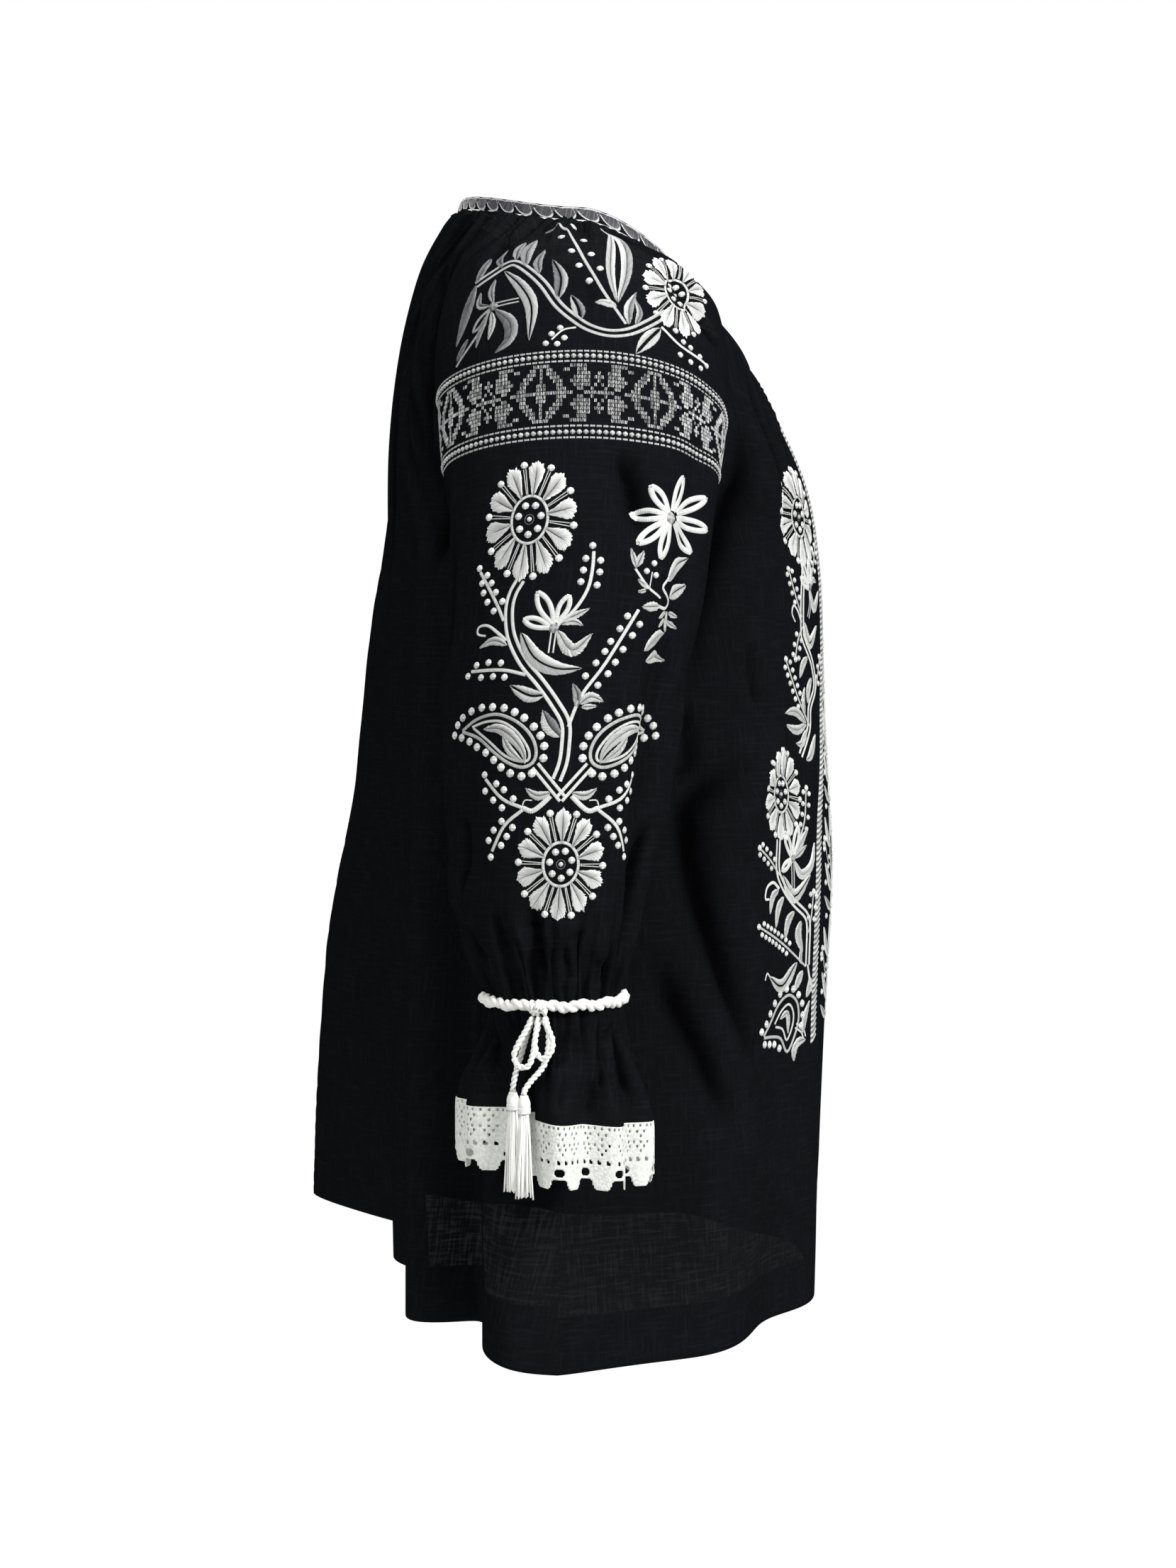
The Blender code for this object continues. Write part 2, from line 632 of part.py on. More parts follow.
def make_bow(tag, side, home, material):
    """Knot, two loops, two ends and a tassel on each end."""
    make_knot(tag, side, home, material)
    for name, offsets in LOOPS.items():
        make_cord(name + "_" + tag, cord_route(placed(offsets, side)), home, material)
    for name, offsets in ENDS.items():
        route = cord_route(placed(offsets, side))
        make_cord(name + "_" + tag, route, home, material)
        top = route[-1] - Vector((0, 0, SEAM_GAP))
        lean = side * TASSEL_LEAN[name]
        make_tassel(name.replace("end", "tassel") + "_" + tag, top, lean, home, material)


def build():
    """Clears the scene and makes every piece of the blouse."""
    for thing in list(bpy.data.objects):
        bpy.data.objects.remove(thing, do_unlink=True)
    home = collection_for("Folk blouse")
    black = principled("Black gauze cotton", (0.012, 0.013, 0.016), 0.85)
    band = principled("Embroidered neckband", (0.16, 0.16, 0.17), 0.7)
    white = principled("White cotton lace", (0.82, 0.83, 0.82), 0.8)
    cord = principled("White twisted cord", (0.86, 0.86, 0.84), 0.7)
    make_neckband(home, band)
    make_panel("front_panel", False, home, black)
    make_panel("back_panel", True, home, black)
    for tag, side in (("right", -1), ("left", 1)):
        make_sleeve("sleeve_" + tag, side, home, black)
        make_ruffle("ruffle_" + tag, side, home, black)
        make_lace("lace_front_" + tag, side, 0, home, white)
        make_lace("lace_back_" + tag, side, 1, home, white)
        make_drawstring(tag, side, home, cord)
        make_bow(tag, side, home, cord)


build()
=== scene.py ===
"""The looks of a black folk blouse: gauze cloth, white embroidery, lace and drawstrings.

Metres, +Z up. The front faces -Y and the wearer's right is -X, as in the frame. Each cloth
is a grid of points that also knows how it lies flat, so that stitches can be laid on it.
"""
import functools
import math
import random
from collections import namedtuple

import bmesh
import bpy
import numpy as np
from bpy.props import FloatProperty, FloatVectorProperty, IntProperty, PointerProperty
from mathutils import Matrix, Vector


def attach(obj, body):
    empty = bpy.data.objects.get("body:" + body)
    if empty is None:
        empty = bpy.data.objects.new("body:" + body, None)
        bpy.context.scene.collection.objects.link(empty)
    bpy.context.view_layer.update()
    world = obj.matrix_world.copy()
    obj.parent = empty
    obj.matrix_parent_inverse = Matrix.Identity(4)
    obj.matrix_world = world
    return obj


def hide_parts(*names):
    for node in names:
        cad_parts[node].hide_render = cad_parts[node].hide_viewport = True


bl_info = {
    "name": "Folk blouse",
    "version": (1, 0, 0),
    "blender": (4, 5, 0),
    "location": "3D View > Sidebar > Blouse",
    "description": "Cloth, embroidery, lace and drawstrings of a black folk blouse",
    "category": "Object",
}

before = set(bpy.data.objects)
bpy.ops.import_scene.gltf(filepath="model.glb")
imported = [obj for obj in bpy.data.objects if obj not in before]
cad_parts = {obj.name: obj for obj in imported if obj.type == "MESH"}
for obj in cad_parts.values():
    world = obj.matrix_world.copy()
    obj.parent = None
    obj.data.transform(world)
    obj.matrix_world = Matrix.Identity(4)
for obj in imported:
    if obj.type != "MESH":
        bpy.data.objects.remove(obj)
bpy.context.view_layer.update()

BODY_NAME = "root"
MM = 0.001
SIDES = (("right", -1), ("left", 1))

# Neckline: an oval seen from above, higher at the back than at the front
NECK_HALF_WIDTH = 0.135
NECK_FRONT_Y = -0.121
NECK_BACK_Y = 0.085
NECK_SIDE_Y = -0.008
NECK_FRONT_Z = -0.078
NECK_SIDE_Z = 0.0
NECK_BACK_Z = 0.025
BAND_HEIGHT = 0.010
BAND_FLARE = 0.004
FRONT_SEAM_DEG = 50
BACK_SEAM_DEG = 128
NECK_PULL = 0.3

# How many large folds each gathered edge has
FRONT_PLEATS = 15
BACK_PLEATS = 18
SLEEVE_NECK_PLEATS = 9
CUFF_PLEATS = 18
NECK_PLEAT_DEPTH = 4.4 * MM
CUFF_PLEAT_DEPTH = 3.0 * MM

# Sleeve rings in metres from the neck down: 1 is the underarm and 2 is the cuff.
# Each ring is an oval about cx, cy; above the underarm it stays open towards the body.
Ring = namedtuple("Ring", "down cx cy rx ry open_deg z_front z_outer z_back")
SLEEVE = (
    Ring(0.00, 0.104, -0.0120, 0.035, 0.0740, 90, -0.0400, -0.0100, 0.0060),
    Ring(0.25, 0.128, -0.0135, 0.078, 0.0980, 87, -0.0850, -0.0400, -0.0480),
    Ring(0.50, 0.160, -0.0110, 0.090, 0.1070, 80, -0.1400, -0.0870, -0.1120),
    Ring(0.75, 0.208, -0.0105, 0.081, 0.1010, 58, -0.2020, -0.1500, -0.1850),
    Ring(1.00, 0.259, -0.0090, 0.064, 0.0920, 0, -0.2620, -0.2250, -0.2620),
    Ring(1.15, 0.273, -0.0050, 0.065, 0.0875, 0, -0.3150, -0.2850, -0.3150),
    Ring(1.32, 0.286, 0.0030, 0.064, 0.0800, 0, -0.3650, -0.3480, -0.3650),
    Ring(1.50, 0.296, 0.0080, 0.063, 0.0740, 0, -0.4150, -0.4080, -0.4150),
    Ring(1.70, 0.305, 0.0100, 0.061, 0.0680, 0, -0.4750, -0.4740, -0.4750),
    Ring(1.86, 0.313, 0.0110, 0.055, 0.0590, 0, -0.5220, -0.5220, -0.5220),
    Ring(1.95, 0.317, 0.0090, 0.047, 0.0480, 0, -0.5490, -0.5490, -0.5490),
    Ring(2.00, 0.320, 0.0080, 0.0435, 0.0440, 0, -0.5620, -0.5620, -0.5620),
)

# Centre lines of the front and back, and the side seam below the underarm.
# turn_deg says how far a half panel turns from the centre to its seam.
Body = namedtuple("Body", "down front_y front_z back_y back_z turn_deg side_x side_y side_z")
BODY = (
    Body(0.00, -0.125, -0.0880, 0.089, 0.0150, 52, 0.104, -0.086, -0.0400),
    Body(0.25, -0.145, -0.1180, 0.112, -0.0300, 62, 0.128, -0.110, -0.0850),
    Body(0.50, -0.166, -0.1530, 0.130, -0.0900, 72, 0.150, -0.115, -0.1400),
    Body(0.75, -0.188, -0.2050, 0.139, -0.1650, 82, 0.172, -0.080, -0.2020),
    Body(1.00, -0.199, -0.2700, 0.142, -0.2600, 90, 0.195, -0.009, -0.2620),
    Body(1.20, -0.203, -0.3800, 0.143, -0.3700, 90, 0.208, -0.004, -0.3800),
    Body(1.40, -0.209, -0.4950, 0.142, -0.4850, 90, 0.220, 0.000, -0.4950),
    Body(1.60, -0.204, -0.6050, 0.140, -0.5950, 90, 0.231, 0.002, -0.6050),
    Body(1.80, -0.199, -0.7150, 0.137, -0.7050, 90, 0.241, 0.004, -0.7150),
    Body(2.00, -0.195, -0.8260, 0.134, -0.7980, 90, 0.249, 0.005, -0.8380),
)
FOLD_GROWTH = 1.15

# Large folds of the body, by angle from the centre front over the wearer's right side
Fold = namedtuple("Fold", "angle width depth start")
BODY_FOLDS = (
    Fold(22, 9, 0.006, 0.9),
    Fold(40, 10, -0.012, 0.7),
    Fold(60, 11, 0.010, 0.9),
    Fold(101, 13, 0.028, 1.0),
    Fold(118, 6, -0.034, 0.8),
    Fold(133, 7, 0.034, 0.3),
    Fold(149, 8, -0.016, 0.5),
    Fold(164, 7, 0.008, 0.4),
    Fold(184, 8, -0.018, 0.6),
    Fold(209, 14, 0.112, 0.65),
    Fold(240, 9, -0.010, 0.9),
    Fold(262, 11, 0.012, 1.1),
    Fold(295, 11, 0.014, 0.9),
    Fold(318, 10, -0.010, 0.8),
    Fold(338, 9, 0.007, 0.9),
)

# Lengthwise folds of a sleeve, by angle from its inner line over the front
SLEEVE_FOLDS = (
    Fold(55, 12, -0.007, 0.9),
    Fold(92, 12, 0.005, 0.8),
    Fold(122, 10, -0.020, 0.5),
    Fold(144, 9, 0.010, 0.6),
    Fold(225, 14, -0.004, 1.0),
    Fold(262, 12, 0.004, 0.7),
    Fold(300, 14, -0.007, 0.9),
)

# Flounce below the drawstring, and the lace below that
RUFFLE_WAVES = 10
RUFFLE_HEIGHT = 0.081
RUFFLE_FLARE_X = 0.013
RUFFLE_FLARE_Y = 0.019
RUFFLE_WAVE_DEPTH = 0.0062
RUFFLE_BACK_LIFT = 0.012
SLIT_ANGLE = 200
SLIT_STEP = 9
SLIT_RETURN = 75
SLIT_DEPTH = 0.027
LACE_REPEATS = 20
LACE_DEPTH = 0.043

# Drawstring: a ring round the cuff, a bow with two loops and two tasselled ends
CORD = 3.9 * MM
CORD_CLEARANCE = 4.4 * MM
# The ring is drawn as thick as the photo shows it, on a thinner ring of the solids
RING_WIDTH = 8.0 * MM
RING_TWIST_SHARE = 1.8
RING_INSET = 1.2 * MM
RING_WAVES = 14
RING_SWAY = 0.6 * MM
RING_RISE = 0.9 * MM
SEAM_GAP = 0.3 * MM
KNOT_ANGLE = 190
KNOT_SIZE = (9.2 * MM, 13.6 * MM, 11.0 * MM)
TASSEL_LENGTH = 0.066
TASSEL_HEAD = 0.012
TASSEL_HEAD_RADIUS = 4.2 * MM
TASSEL_THREAD = 0.65 * MM
TIE_TURNS = 4
TIE_RADIUS = 3.9 * MM
TIE_THREAD = 0.6 * MM
TIE_DROP = 8.5 * MM
TIE_STEP = 0.9 * MM

# Routes from the middle of the knot's underside, in millimetres: out from the cuff,
# towards the back, and up. A loop comes back to the knot; an end stops at its tassel.
Way = namedtuple("Way", "out back up")
LOOPS = {
    "loop_back": (
        Way(2.2, 4.5, -0.3), Way(2.3, 4.7, -2.8), Way(4.2, 7.5, -9.0), Way(6.8, 12.0, -17.5),
        Way(8.6, 14.5, -25.0), Way(9.5, 11.5, -31.5), Way(9.9, 5.0, -31.5), Way(9.6, 1.8, -24.0),
        Way(7.2, 0.8, -15.0), Way(4.0, 0.2, -7.5), Way(2.3, 0.0, -2.8), Way(2.2, 0.0, -0.3),
    ),
    "loop_front": (
        Way(2.2, -4.5, -0.3), Way(2.3, -4.6, -2.8), Way(4.0, -7.6, -8.0), Way(6.0, -10.8, -15.5),
        Way(7.6, -9.4, -23.0), Way(8.0, -4.2, -26.5), Way(5.4, 0.3, -22.5), Way(2.2, 1.9, -15.5),
        Way(-0.8, 0.8, -8.5), Way(-2.1, 0.0, -2.8), Way(-2.2, 0.0, -0.3),
    ),
}
ENDS = {
    "end_back": (
        Way(-2.2, 4.5, -0.3), Way(-2.2, 4.7, -2.8), Way(-2.8, 8.0, -12.0), Way(-2.6, 12.0, -26.0),
        Way(-0.6, 15.5, -39.0), Way(0.0, 16.9, -47.0), Way(0.0, 17.0, -50.0),
    ),
    "end_front": (
        Way(-2.2, -4.5, -0.3), Way(-2.2, -4.7, -2.8), Way(-1.8, -6.4, -10.0),
        Way(-0.6, -6.6, -20.0), Way(2.6, -4.2, -32.0), Way(9.4, 3.6, -42.0),
        Way(12.4, 6.9, -47.5), Way(12.5, 7.0, -50.0),
    ),
}
TASSEL_LEAN = {"end_back": 0.004, "end_front": 0.012}

# Main creases on the flat cloths, in millimetres: the places they run through, how wide
# and how deep they are. A negative depth is a trough, with shade painted into it.
Crease = namedtuple("Crease", "keys width depth")
FRONT_CREASES = (
    Crease(((-178, 253), (-176, 277), (-171, 305)), 5, -6.2),
    Crease(((-176, 331), (-211, 350), (-240, 366), (-250, 384), (-249, 424), (-237, 464),
            (-223, 497), (-198, 545), (-180, 590)), 13, -17.1),
    Crease(((-285, 470), (-268, 516), (-250, 550), (-225, 610)), 12, -10.8),
    Crease(((-246, 290), (-242, 336), (-262, 358)), 9, -6.2),
    Crease(((-130, 300), (-169, 343), (-192, 372), (-205, 420)), 12, 7.8),
    Crease(((-150, 78), (-160, 105), (-181, 160), (-206, 200), (-228, 245), (-240, 300)),
           13, -12.4),
    Crease(((-122, 50), (-118, 93), (-112, 140), (-118, 190)), 5, -6.2),
    Crease(((-98, 40), (-96, 75), (-99, 110)), 4, -4.7),
    Crease(((-70, 20), (-74, 60), (-80, 105)), 5, 4.7),
    Crease(((-226, 600), (-168, 659), (-120, 692)), 16, 7.8),
    Crease(((-60, 640), (-20, 690), (10, 760)), 18, -7.8),
    Crease(((172, 300), (214, 341), (243, 372), (246, 440), (228, 500), (205, 570)), 14, -15.5),
    Crease(((142, 290), (178, 338), (204, 395)), 12, 7.8),
    Crease(((280, 490), (258, 545), (236, 620)), 12, -9.3),
    Crease(((148, 80), (172, 140), (204, 200), (226, 262)), 13, -10.8),
    Crease(((118, 45), (114, 100), (120, 175)), 5, -6.2),
    Crease(((30, 50), (38, 110), (34, 190)), 7, -4.7),
    Crease(((70, 30), (80, 90), (84, 170)), 6, 4.7),
    Crease(((120, 610), (90, 680), (84, 770)), 17, -7.8),
)
BACK_CREASES = (
    Crease(((40, 120), (66, 200), (90, 300), (113, 400), (129, 500), (154, 600), (173, 700),
            (191, 780), (228, 980)), 45, 12),
    Crease(((122, 450), (129, 500), (154, 600), (173, 700), (191, 780), (228, 980)), 45, 13),
    Crease(((-60, 8), (-84, 60), (-96, 150), (-104, 260)), 6, -7.8),
    Crease(((-92, 14), (-118, 60), (-134, 140), (-146, 240)), 6, 7.8),
    Crease(((-112, 24), (-134, 70), (-150, 150), (-163, 232)), 6, -7.8),
    Crease(((-125, 26), (-142, 60), (-160, 120)), 4, -6.2),
    Crease(((-30, 10), (-44, 90), (-52, 220), (-50, 360)), 8, -7.8),
    Crease(((0, 10), (-6, 80), (-4, 190)), 6, 6.2),
    Crease(((36, 12), (48, 100), (60, 230)), 7, -7.8),
    Crease(((70, 12), (92, 80), (108, 210)), 6, 6.2),
    Crease(((110, 20), (134, 80), (152, 190)), 6, -7.8),
    Crease(((-160, 190), (-166, 230), (-172, 300)), 8, -9.3),
    Crease(((165, 200), (178, 270), (184, 360)), 9, -9.3),
    Crease(((-335, 700), (-354, 743), (-372, 790)), 10, 6.2),
    Crease(((-240, 420), (-262, 520), (-300, 640)), 14, -7.8),
    Crease(((230, 400), (244, 520), (272, 650)), 14, -7.8),
)
SLEEVE_CREASES = (
    Crease(((22, 258), (34, 277), (39, 297), (44, 325)), 9, -10.8),
    Crease(((-83, 512), (-69, 516), (-65, 542), (-75, 562), (-70, 578)), 4, -6.2),
    Crease(((-92, 540), (-86, 566), (-76, 590)), 4, 4.7),
    Crease(((-66, 588), (-52, 616)), 3.5, -6.2),
    Crease(((-11, 566), (-8, 598), (-7, 626)), 4.5, -9.3),
    Crease(((-40, 572), (-34, 596), (-31, 612)), 4, -6.2),
    Crease(((-24, 590), (-17, 624)), 3.5, -4.7),
    Crease(((21, 580), (22, 620)), 3.5, -6.2),
    Crease(((92, 508), (74, 549), (65, 590), (57, 628)), 5.5, -12.4),
    Crease(((11, 596), (14, 624)), 3, -4.7),
    Crease(((35, 600), (38, 626)), 3.5, -4.7),
    Crease(((43, 606), (50, 628)), 3, -4.7),
    Crease(((-4, 606), (8, 592), (28, 582)), 5, 6.2),
    Crease(((1, 112), (5, 130), (3, 152)), 4, -3.1),
    Crease(((56, 72), (80, 108), (108, 124), (136, 140)), 8, -7.8),
    Crease(((-60, 20), (-66, 60), (-78, 96)), 5, -6.2),
    Crease(((-98, 300), (-104, 350), (-100, 420)), 7, -4.7),
    Crease(((-120, 240), (-128, 330), (-124, 430)), 10, -7.8),
    Crease(((-150, 420), (-130, 520), (-108, 600)), 9, -7.8),
    Crease(((120, 400), (116, 480), (104, 560)), 9, 6.2),
    Crease(((150, 450), (134, 540), (110, 615)), 8, -7.8),
    Crease(((-180, 480), (-168, 560), (-140, 622)), 8, 6.2),
)
RUFFLE_CREASES = (
    Crease(((46, 8), (72, 31), (106, 52)), 3.5, -5.4),
    Crease(((45, 16), (62, 37), (78, 55)), 5, -7.8),
    Crease(((-2, 18), (-2, 46)), 3, -4.7),
    Crease(((-8, 10), (-8, 42)), 3, -4.7),
    Crease(((-33, 8), (-34, 40), (-36, 66)), 3.5, -6.2),
    Crease(((-48, 10), (-62, 42), (-82, 74)), 4, -7.8),
    Crease(((-10, 48), (-4, 70)), 3, -4.7),
    Crease(((-31, 46), (-28, 76)), 3.5, -5.4),
    Crease(((-48, 12), (-36, 30)), 3, -4.7),
    Crease(((29, 8), (32, 30)), 3.5, -4.7),
    Crease(((-17, 14), (-16, 40)), 3, -3.9),
    Crease(((5, 20), (4, 40)), 3, -3.9),
    Crease(((100, 10), (128, 60)), 4, -6.2),
    Crease(((-110, 12), (-124, 64)), 4, -6.2),
    Crease(((-86, 8), (-100, 56)), 4, 4.7),
)

# Camera: it stands on the wearer's right and looks a little down
CAMERA_PLACE = (-2.02, -0.015, -0.333)
CAMERA_PITCH_DEG = 2.85
CAMERA_LENS_MM = 58.0
CAMERA_FILM_MM = 36.0
FLOOR_Z = -1.4
FLOOR_RADIUS = 1.3


def linear(code):
    """An sRGB hex colour as linear red, green and blue."""
    parts = [int(code[i:i + 2], 16) / 255 for i in (1, 3, 5)]
    return tuple(p / 12.92 if p <= 0.04045 else ((p + 0.055) / 1.055) ** 2.4 for p in parts)


class BlouseSizes(bpy.types.PropertyGroup):
    """Sizes of the cloth and its trimmings."""

    cloth_step: FloatProperty(
        name="Cloth step", description="Distance between the points of the cloth",
        default=3.2 * MM, min=1.5 * MM, unit="LENGTH",
    )
    crease: FloatProperty(
        name="Crease strength", description="How deep the small creases are, as a share",
        default=1.0, min=0.0, subtype="FACTOR",
    )
    hem: FloatProperty(
        name="Hem", description="Height of the turned-up hem",
        default=36 * MM, unit="LENGTH",
    )
    slub: FloatProperty(
        name="Slub spacing", description="Distance between the thick threads that show",
        default=2.0 * MM, unit="LENGTH",
    )
    cord_twist: FloatProperty(
        name="Cord twist", description="Length of one full twist of the cord",
        default=7.5 * MM, unit="LENGTH",
    )
    tassel_threads: IntProperty(
        name="Tassel threads", description="Threads in one tassel", default=46, min=8,
    )


class BlouseColours(bpy.types.PropertyGroup):
    """Colours of the cloth, the threads and the stage."""

    gauze: FloatVectorProperty(
        name="Gauze", description="The black cloth", subtype="COLOR",
        size=3, default=linear("#0F1012"), min=0, max=1,
    )
    slub: FloatVectorProperty(
        name="Slub threads", description="The thicker threads of the black cloth",
        subtype="COLOR", size=3, default=linear("#17181B"), min=0, max=1,
    )
    white_thread: FloatVectorProperty(
        name="White thread", description="The light part of the embroidery thread",
        subtype="COLOR", size=3, default=linear("#EAEBE8"), min=0, max=1,
    )
    grey_thread: FloatVectorProperty(
        name="Grey thread", description="The shaded part of the embroidery thread",
        subtype="COLOR", size=3, default=linear("#303037"), min=0, max=1,
    )
    lace: FloatVectorProperty(
        name="Lace", description="The crochet edging", subtype="COLOR",
        size=3, default=linear("#E4E6E1"), min=0, max=1,
    )
    cord: FloatVectorProperty(
        name="Cord", description="The drawstrings and tassels", subtype="COLOR",
        size=3, default=linear("#F3F3F0"), min=0, max=1,
    )
    floor: FloatVectorProperty(
        name="Floor", description="The studio floor", subtype="COLOR",
        size=3, default=linear("#F4F4F4"), min=0, max=1,
    )


def sizes():
    """The user's sizes."""
    return bpy.context.scene.blouse_sizes


def colours():
    """The user's colours."""
    return bpy.context.scene.blouse_colours


def unit(vectors):
    """Vectors at length 1."""
    return vectors / np.maximum(np.linalg.norm(vectors, axis=-1, keepdims=True), 1e-12)


def ease(value, low, high):
    """Soft step from 0 at low to 1 at high."""
    share = np.clip((value - low) / (high - low), 0.0, 1.0)
    return share * share * (3 - 2 * share)


def hermite(start, stop, slope_in, slope_out, share):
    """Cubic from start to stop with the given slopes."""
    square, cube = share * share, share * share * share
    return (
        (2 * cube - 3 * square + 1) * start
        + (cube - 2 * square + share) * slope_in
        + (3 * square - 2 * cube) * stop
        + (cube - square) * slope_out
    )


@functools.lru_cache(maxsize=None)
def row_at(rows, down):
    """The table's row at any distance down, on a smooth curve through its rows."""
    last = len(rows) - 1
    step = max(i for i in range(last) if i == 0 or rows[i].down <= down)
    before, after = rows[step], rows[step + 1]
    span = after.down - before.down
    share = min(max((down - before.down) / span, 0.0), 1.0)
    mixed = []
    for column in range(len(before)):
        slopes = []
        for i in (step, step + 1):
            low, high = rows[max(i - 1, 0)], rows[min(i + 1, last)]
            slopes.append((high[column] - low[column]) / (high.down - low.down) * span)
        mixed.append(hermite(before[column], after[column], *slopes, share))
    return type(before)(*mixed)


def fold_sum(folds, angle, down):
    """How far all folds together push the cloth out at these angles."""
    total = np.zeros_like(angle)
    for fold in folds:
        away = (angle - fold.angle + 180) % 360 - 180
        grow = max(down - fold.start, 0.0) / (2 - fold.start)
        total += fold.depth * grow ** FOLD_GROWTH * np.exp(-((away / fold.width) ** 2))
    return total


def pleat(share, count, depth):
    """Alternate ridges and troughs of a gathered edge, uneven from one to the next."""
    uneven = 0.72 + 0.28 * np.sin(5.3 * share * count / 2)
    return depth * uneven * np.cos(2 * math.pi * count * share)


def neck_point(angle, drop):
    """The neckline at angles from the front, and how far down the band (0 to 1)."""
    behind = np.cos(angle) < 0
    y_end = np.where(behind, NECK_BACK_Y, NECK_FRONT_Y)
    z_end = np.where(behind, NECK_BACK_Z, NECK_FRONT_Z)
    reach = np.abs(np.cos(angle))
    x = -NECK_HALF_WIDTH * np.sin(angle)
    y = NECK_SIDE_Y + (y_end - NECK_SIDE_Y) * reach
    z = NECK_SIDE_Z + (z_end - NECK_SIDE_Z) * reach ** 1.7
    out = unit(np.stack([x, y + 0.02, 0 * x], axis=-1))
    return np.stack([x, y, z - BAND_HEIGHT * drop], axis=-1) + out * BAND_FLARE * drop


def drawn_to_neck(shape, down, degrees):
    """Brings the top of a piece onto the lower edge of the neckband."""
    points = shape(down)
    if down >= NECK_PULL:
        return points
    shift = neck_point(np.radians(degrees), 1.0) - shape(0.0)
    return points + shift * (1 - ease(down, 0, NECK_PULL))


def sleeve_points(share, down, side):
    """A row of a sleeve, with its top edge on the neckband."""
    degrees = FRONT_SEAM_DEG + (BACK_SEAM_DEG - FRONT_SEAM_DEG) * share
    return drawn_to_neck(lambda d: sleeve_shape(share, d, side), down, -side * degrees)


def body_points(share, down, back):
    """A row of the front or back, with its top edge on the neckband."""
    degrees = 180 - (180 - BACK_SEAM_DEG) * share if back else FRONT_SEAM_DEG * share
    return drawn_to_neck(lambda d: body_shape(share, d, back), down, degrees)


def sleeve_shape(share, down, side):
    """Share 0 is the front seam or inner line and 1 the back one; side is -1 on the right."""
    ring = row_at(SLEEVE, down)
    start = math.radians(max(ring.open_deg, 0.0)) if down < 1 else 0.0
    angle = start + (2 * math.pi - 2 * start) * share
    outer = (math.cos(start) - np.cos(angle)) / (math.cos(start) + 1)
    seam_z = np.where(angle < math.pi, ring.z_front, ring.z_back)
    z = outer * ring.z_outer + (1 - outer) * seam_z
    inside = ease(down, 0.3, 0.9) if down < 1 else 1.0
    edge = np.sin(math.pi * share) if down < 1 else np.ones_like(share)
    push = fold_sum(SLEEVE_FOLDS, np.degrees(angle), down) * inside * np.minimum(1.0, 1.6 * edge)
    push *= 1 - ease(down, 1.45, 1.85)
    neck = (1 - ease(down, 0.02, 0.42)) * ease(down, -0.06, 0.06)
    cuff = ease(down, 1.72, 1.97) * (1 - 0.65 * ease(down, 1.95, 2.0))
    push += pleat(share, SLEEVE_NECK_PLEATS, NECK_PLEAT_DEPTH) * neck * edge
    push += pleat(share, CUFF_PLEATS, CUFF_PLEAT_DEPTH) * cuff
    x = ring.cx - (ring.rx + push) * np.cos(angle)
    y = ring.cy - (ring.ry + push) * np.sin(angle)
    return np.stack([side * x, y, z], axis=-1)


def seam_point(down, back):
    """A raglan seam above the underarm, and the side seam below it."""
    if down < 1:
        ring = row_at(SLEEVE, down)
        start = math.radians(max(ring.open_deg, 0.0))
        turn = -1 if back else 1
        x = ring.cx - ring.rx * math.cos(start)
        y = ring.cy - turn * ring.ry * math.sin(start)
        return x, y, ring.z_back if back else ring.z_front
    row = row_at(BODY, down)
    return row.side_x, row.side_y, row.side_z


def body_shape(share, down, back):
    """Share -1 is the wearer's left seam, 0 the centre and 1 the right seam."""
    row = row_at(BODY, down)
    x_seam, y_seam, z_seam = seam_point(down, back)
    turn = math.radians(row.turn_deg)
    angle = turn * np.abs(share)
    level = (np.cos(angle) - math.cos(turn)) / (1 - math.cos(turn))
    full = np.maximum(level, 0.0) ** 0.86
    y_centre = row.back_y if back else row.front_y
    z_centre = row.back_z if back else row.front_z
    x = -np.copysign(x_seam * np.sin(angle) / math.sin(turn), share)
    y = y_seam + (y_centre - y_seam) * full
    z = z_seam + (z_centre - z_seam) * level
    around = 180 - 90 * share if back else 90 * share
    edge = 1 - np.abs(share) ** 3 * (1 - ease(down, 0.9, 1.3))
    count = BACK_PLEATS if back else FRONT_PLEATS
    neck = (1 - ease(down, 0.05, 0.62)) * ease(down, -0.06, 0.06)
    push = fold_sum(BODY_FOLDS, around, down) * edge
    push += pleat((share + 1) / 2, count, NECK_PLEAT_DEPTH) * neck * edge
    away = unit(np.stack([x, y + 0.02, 0 * x], axis=-1))
    return np.stack([x, y, z], axis=-1) + away * push[..., None]


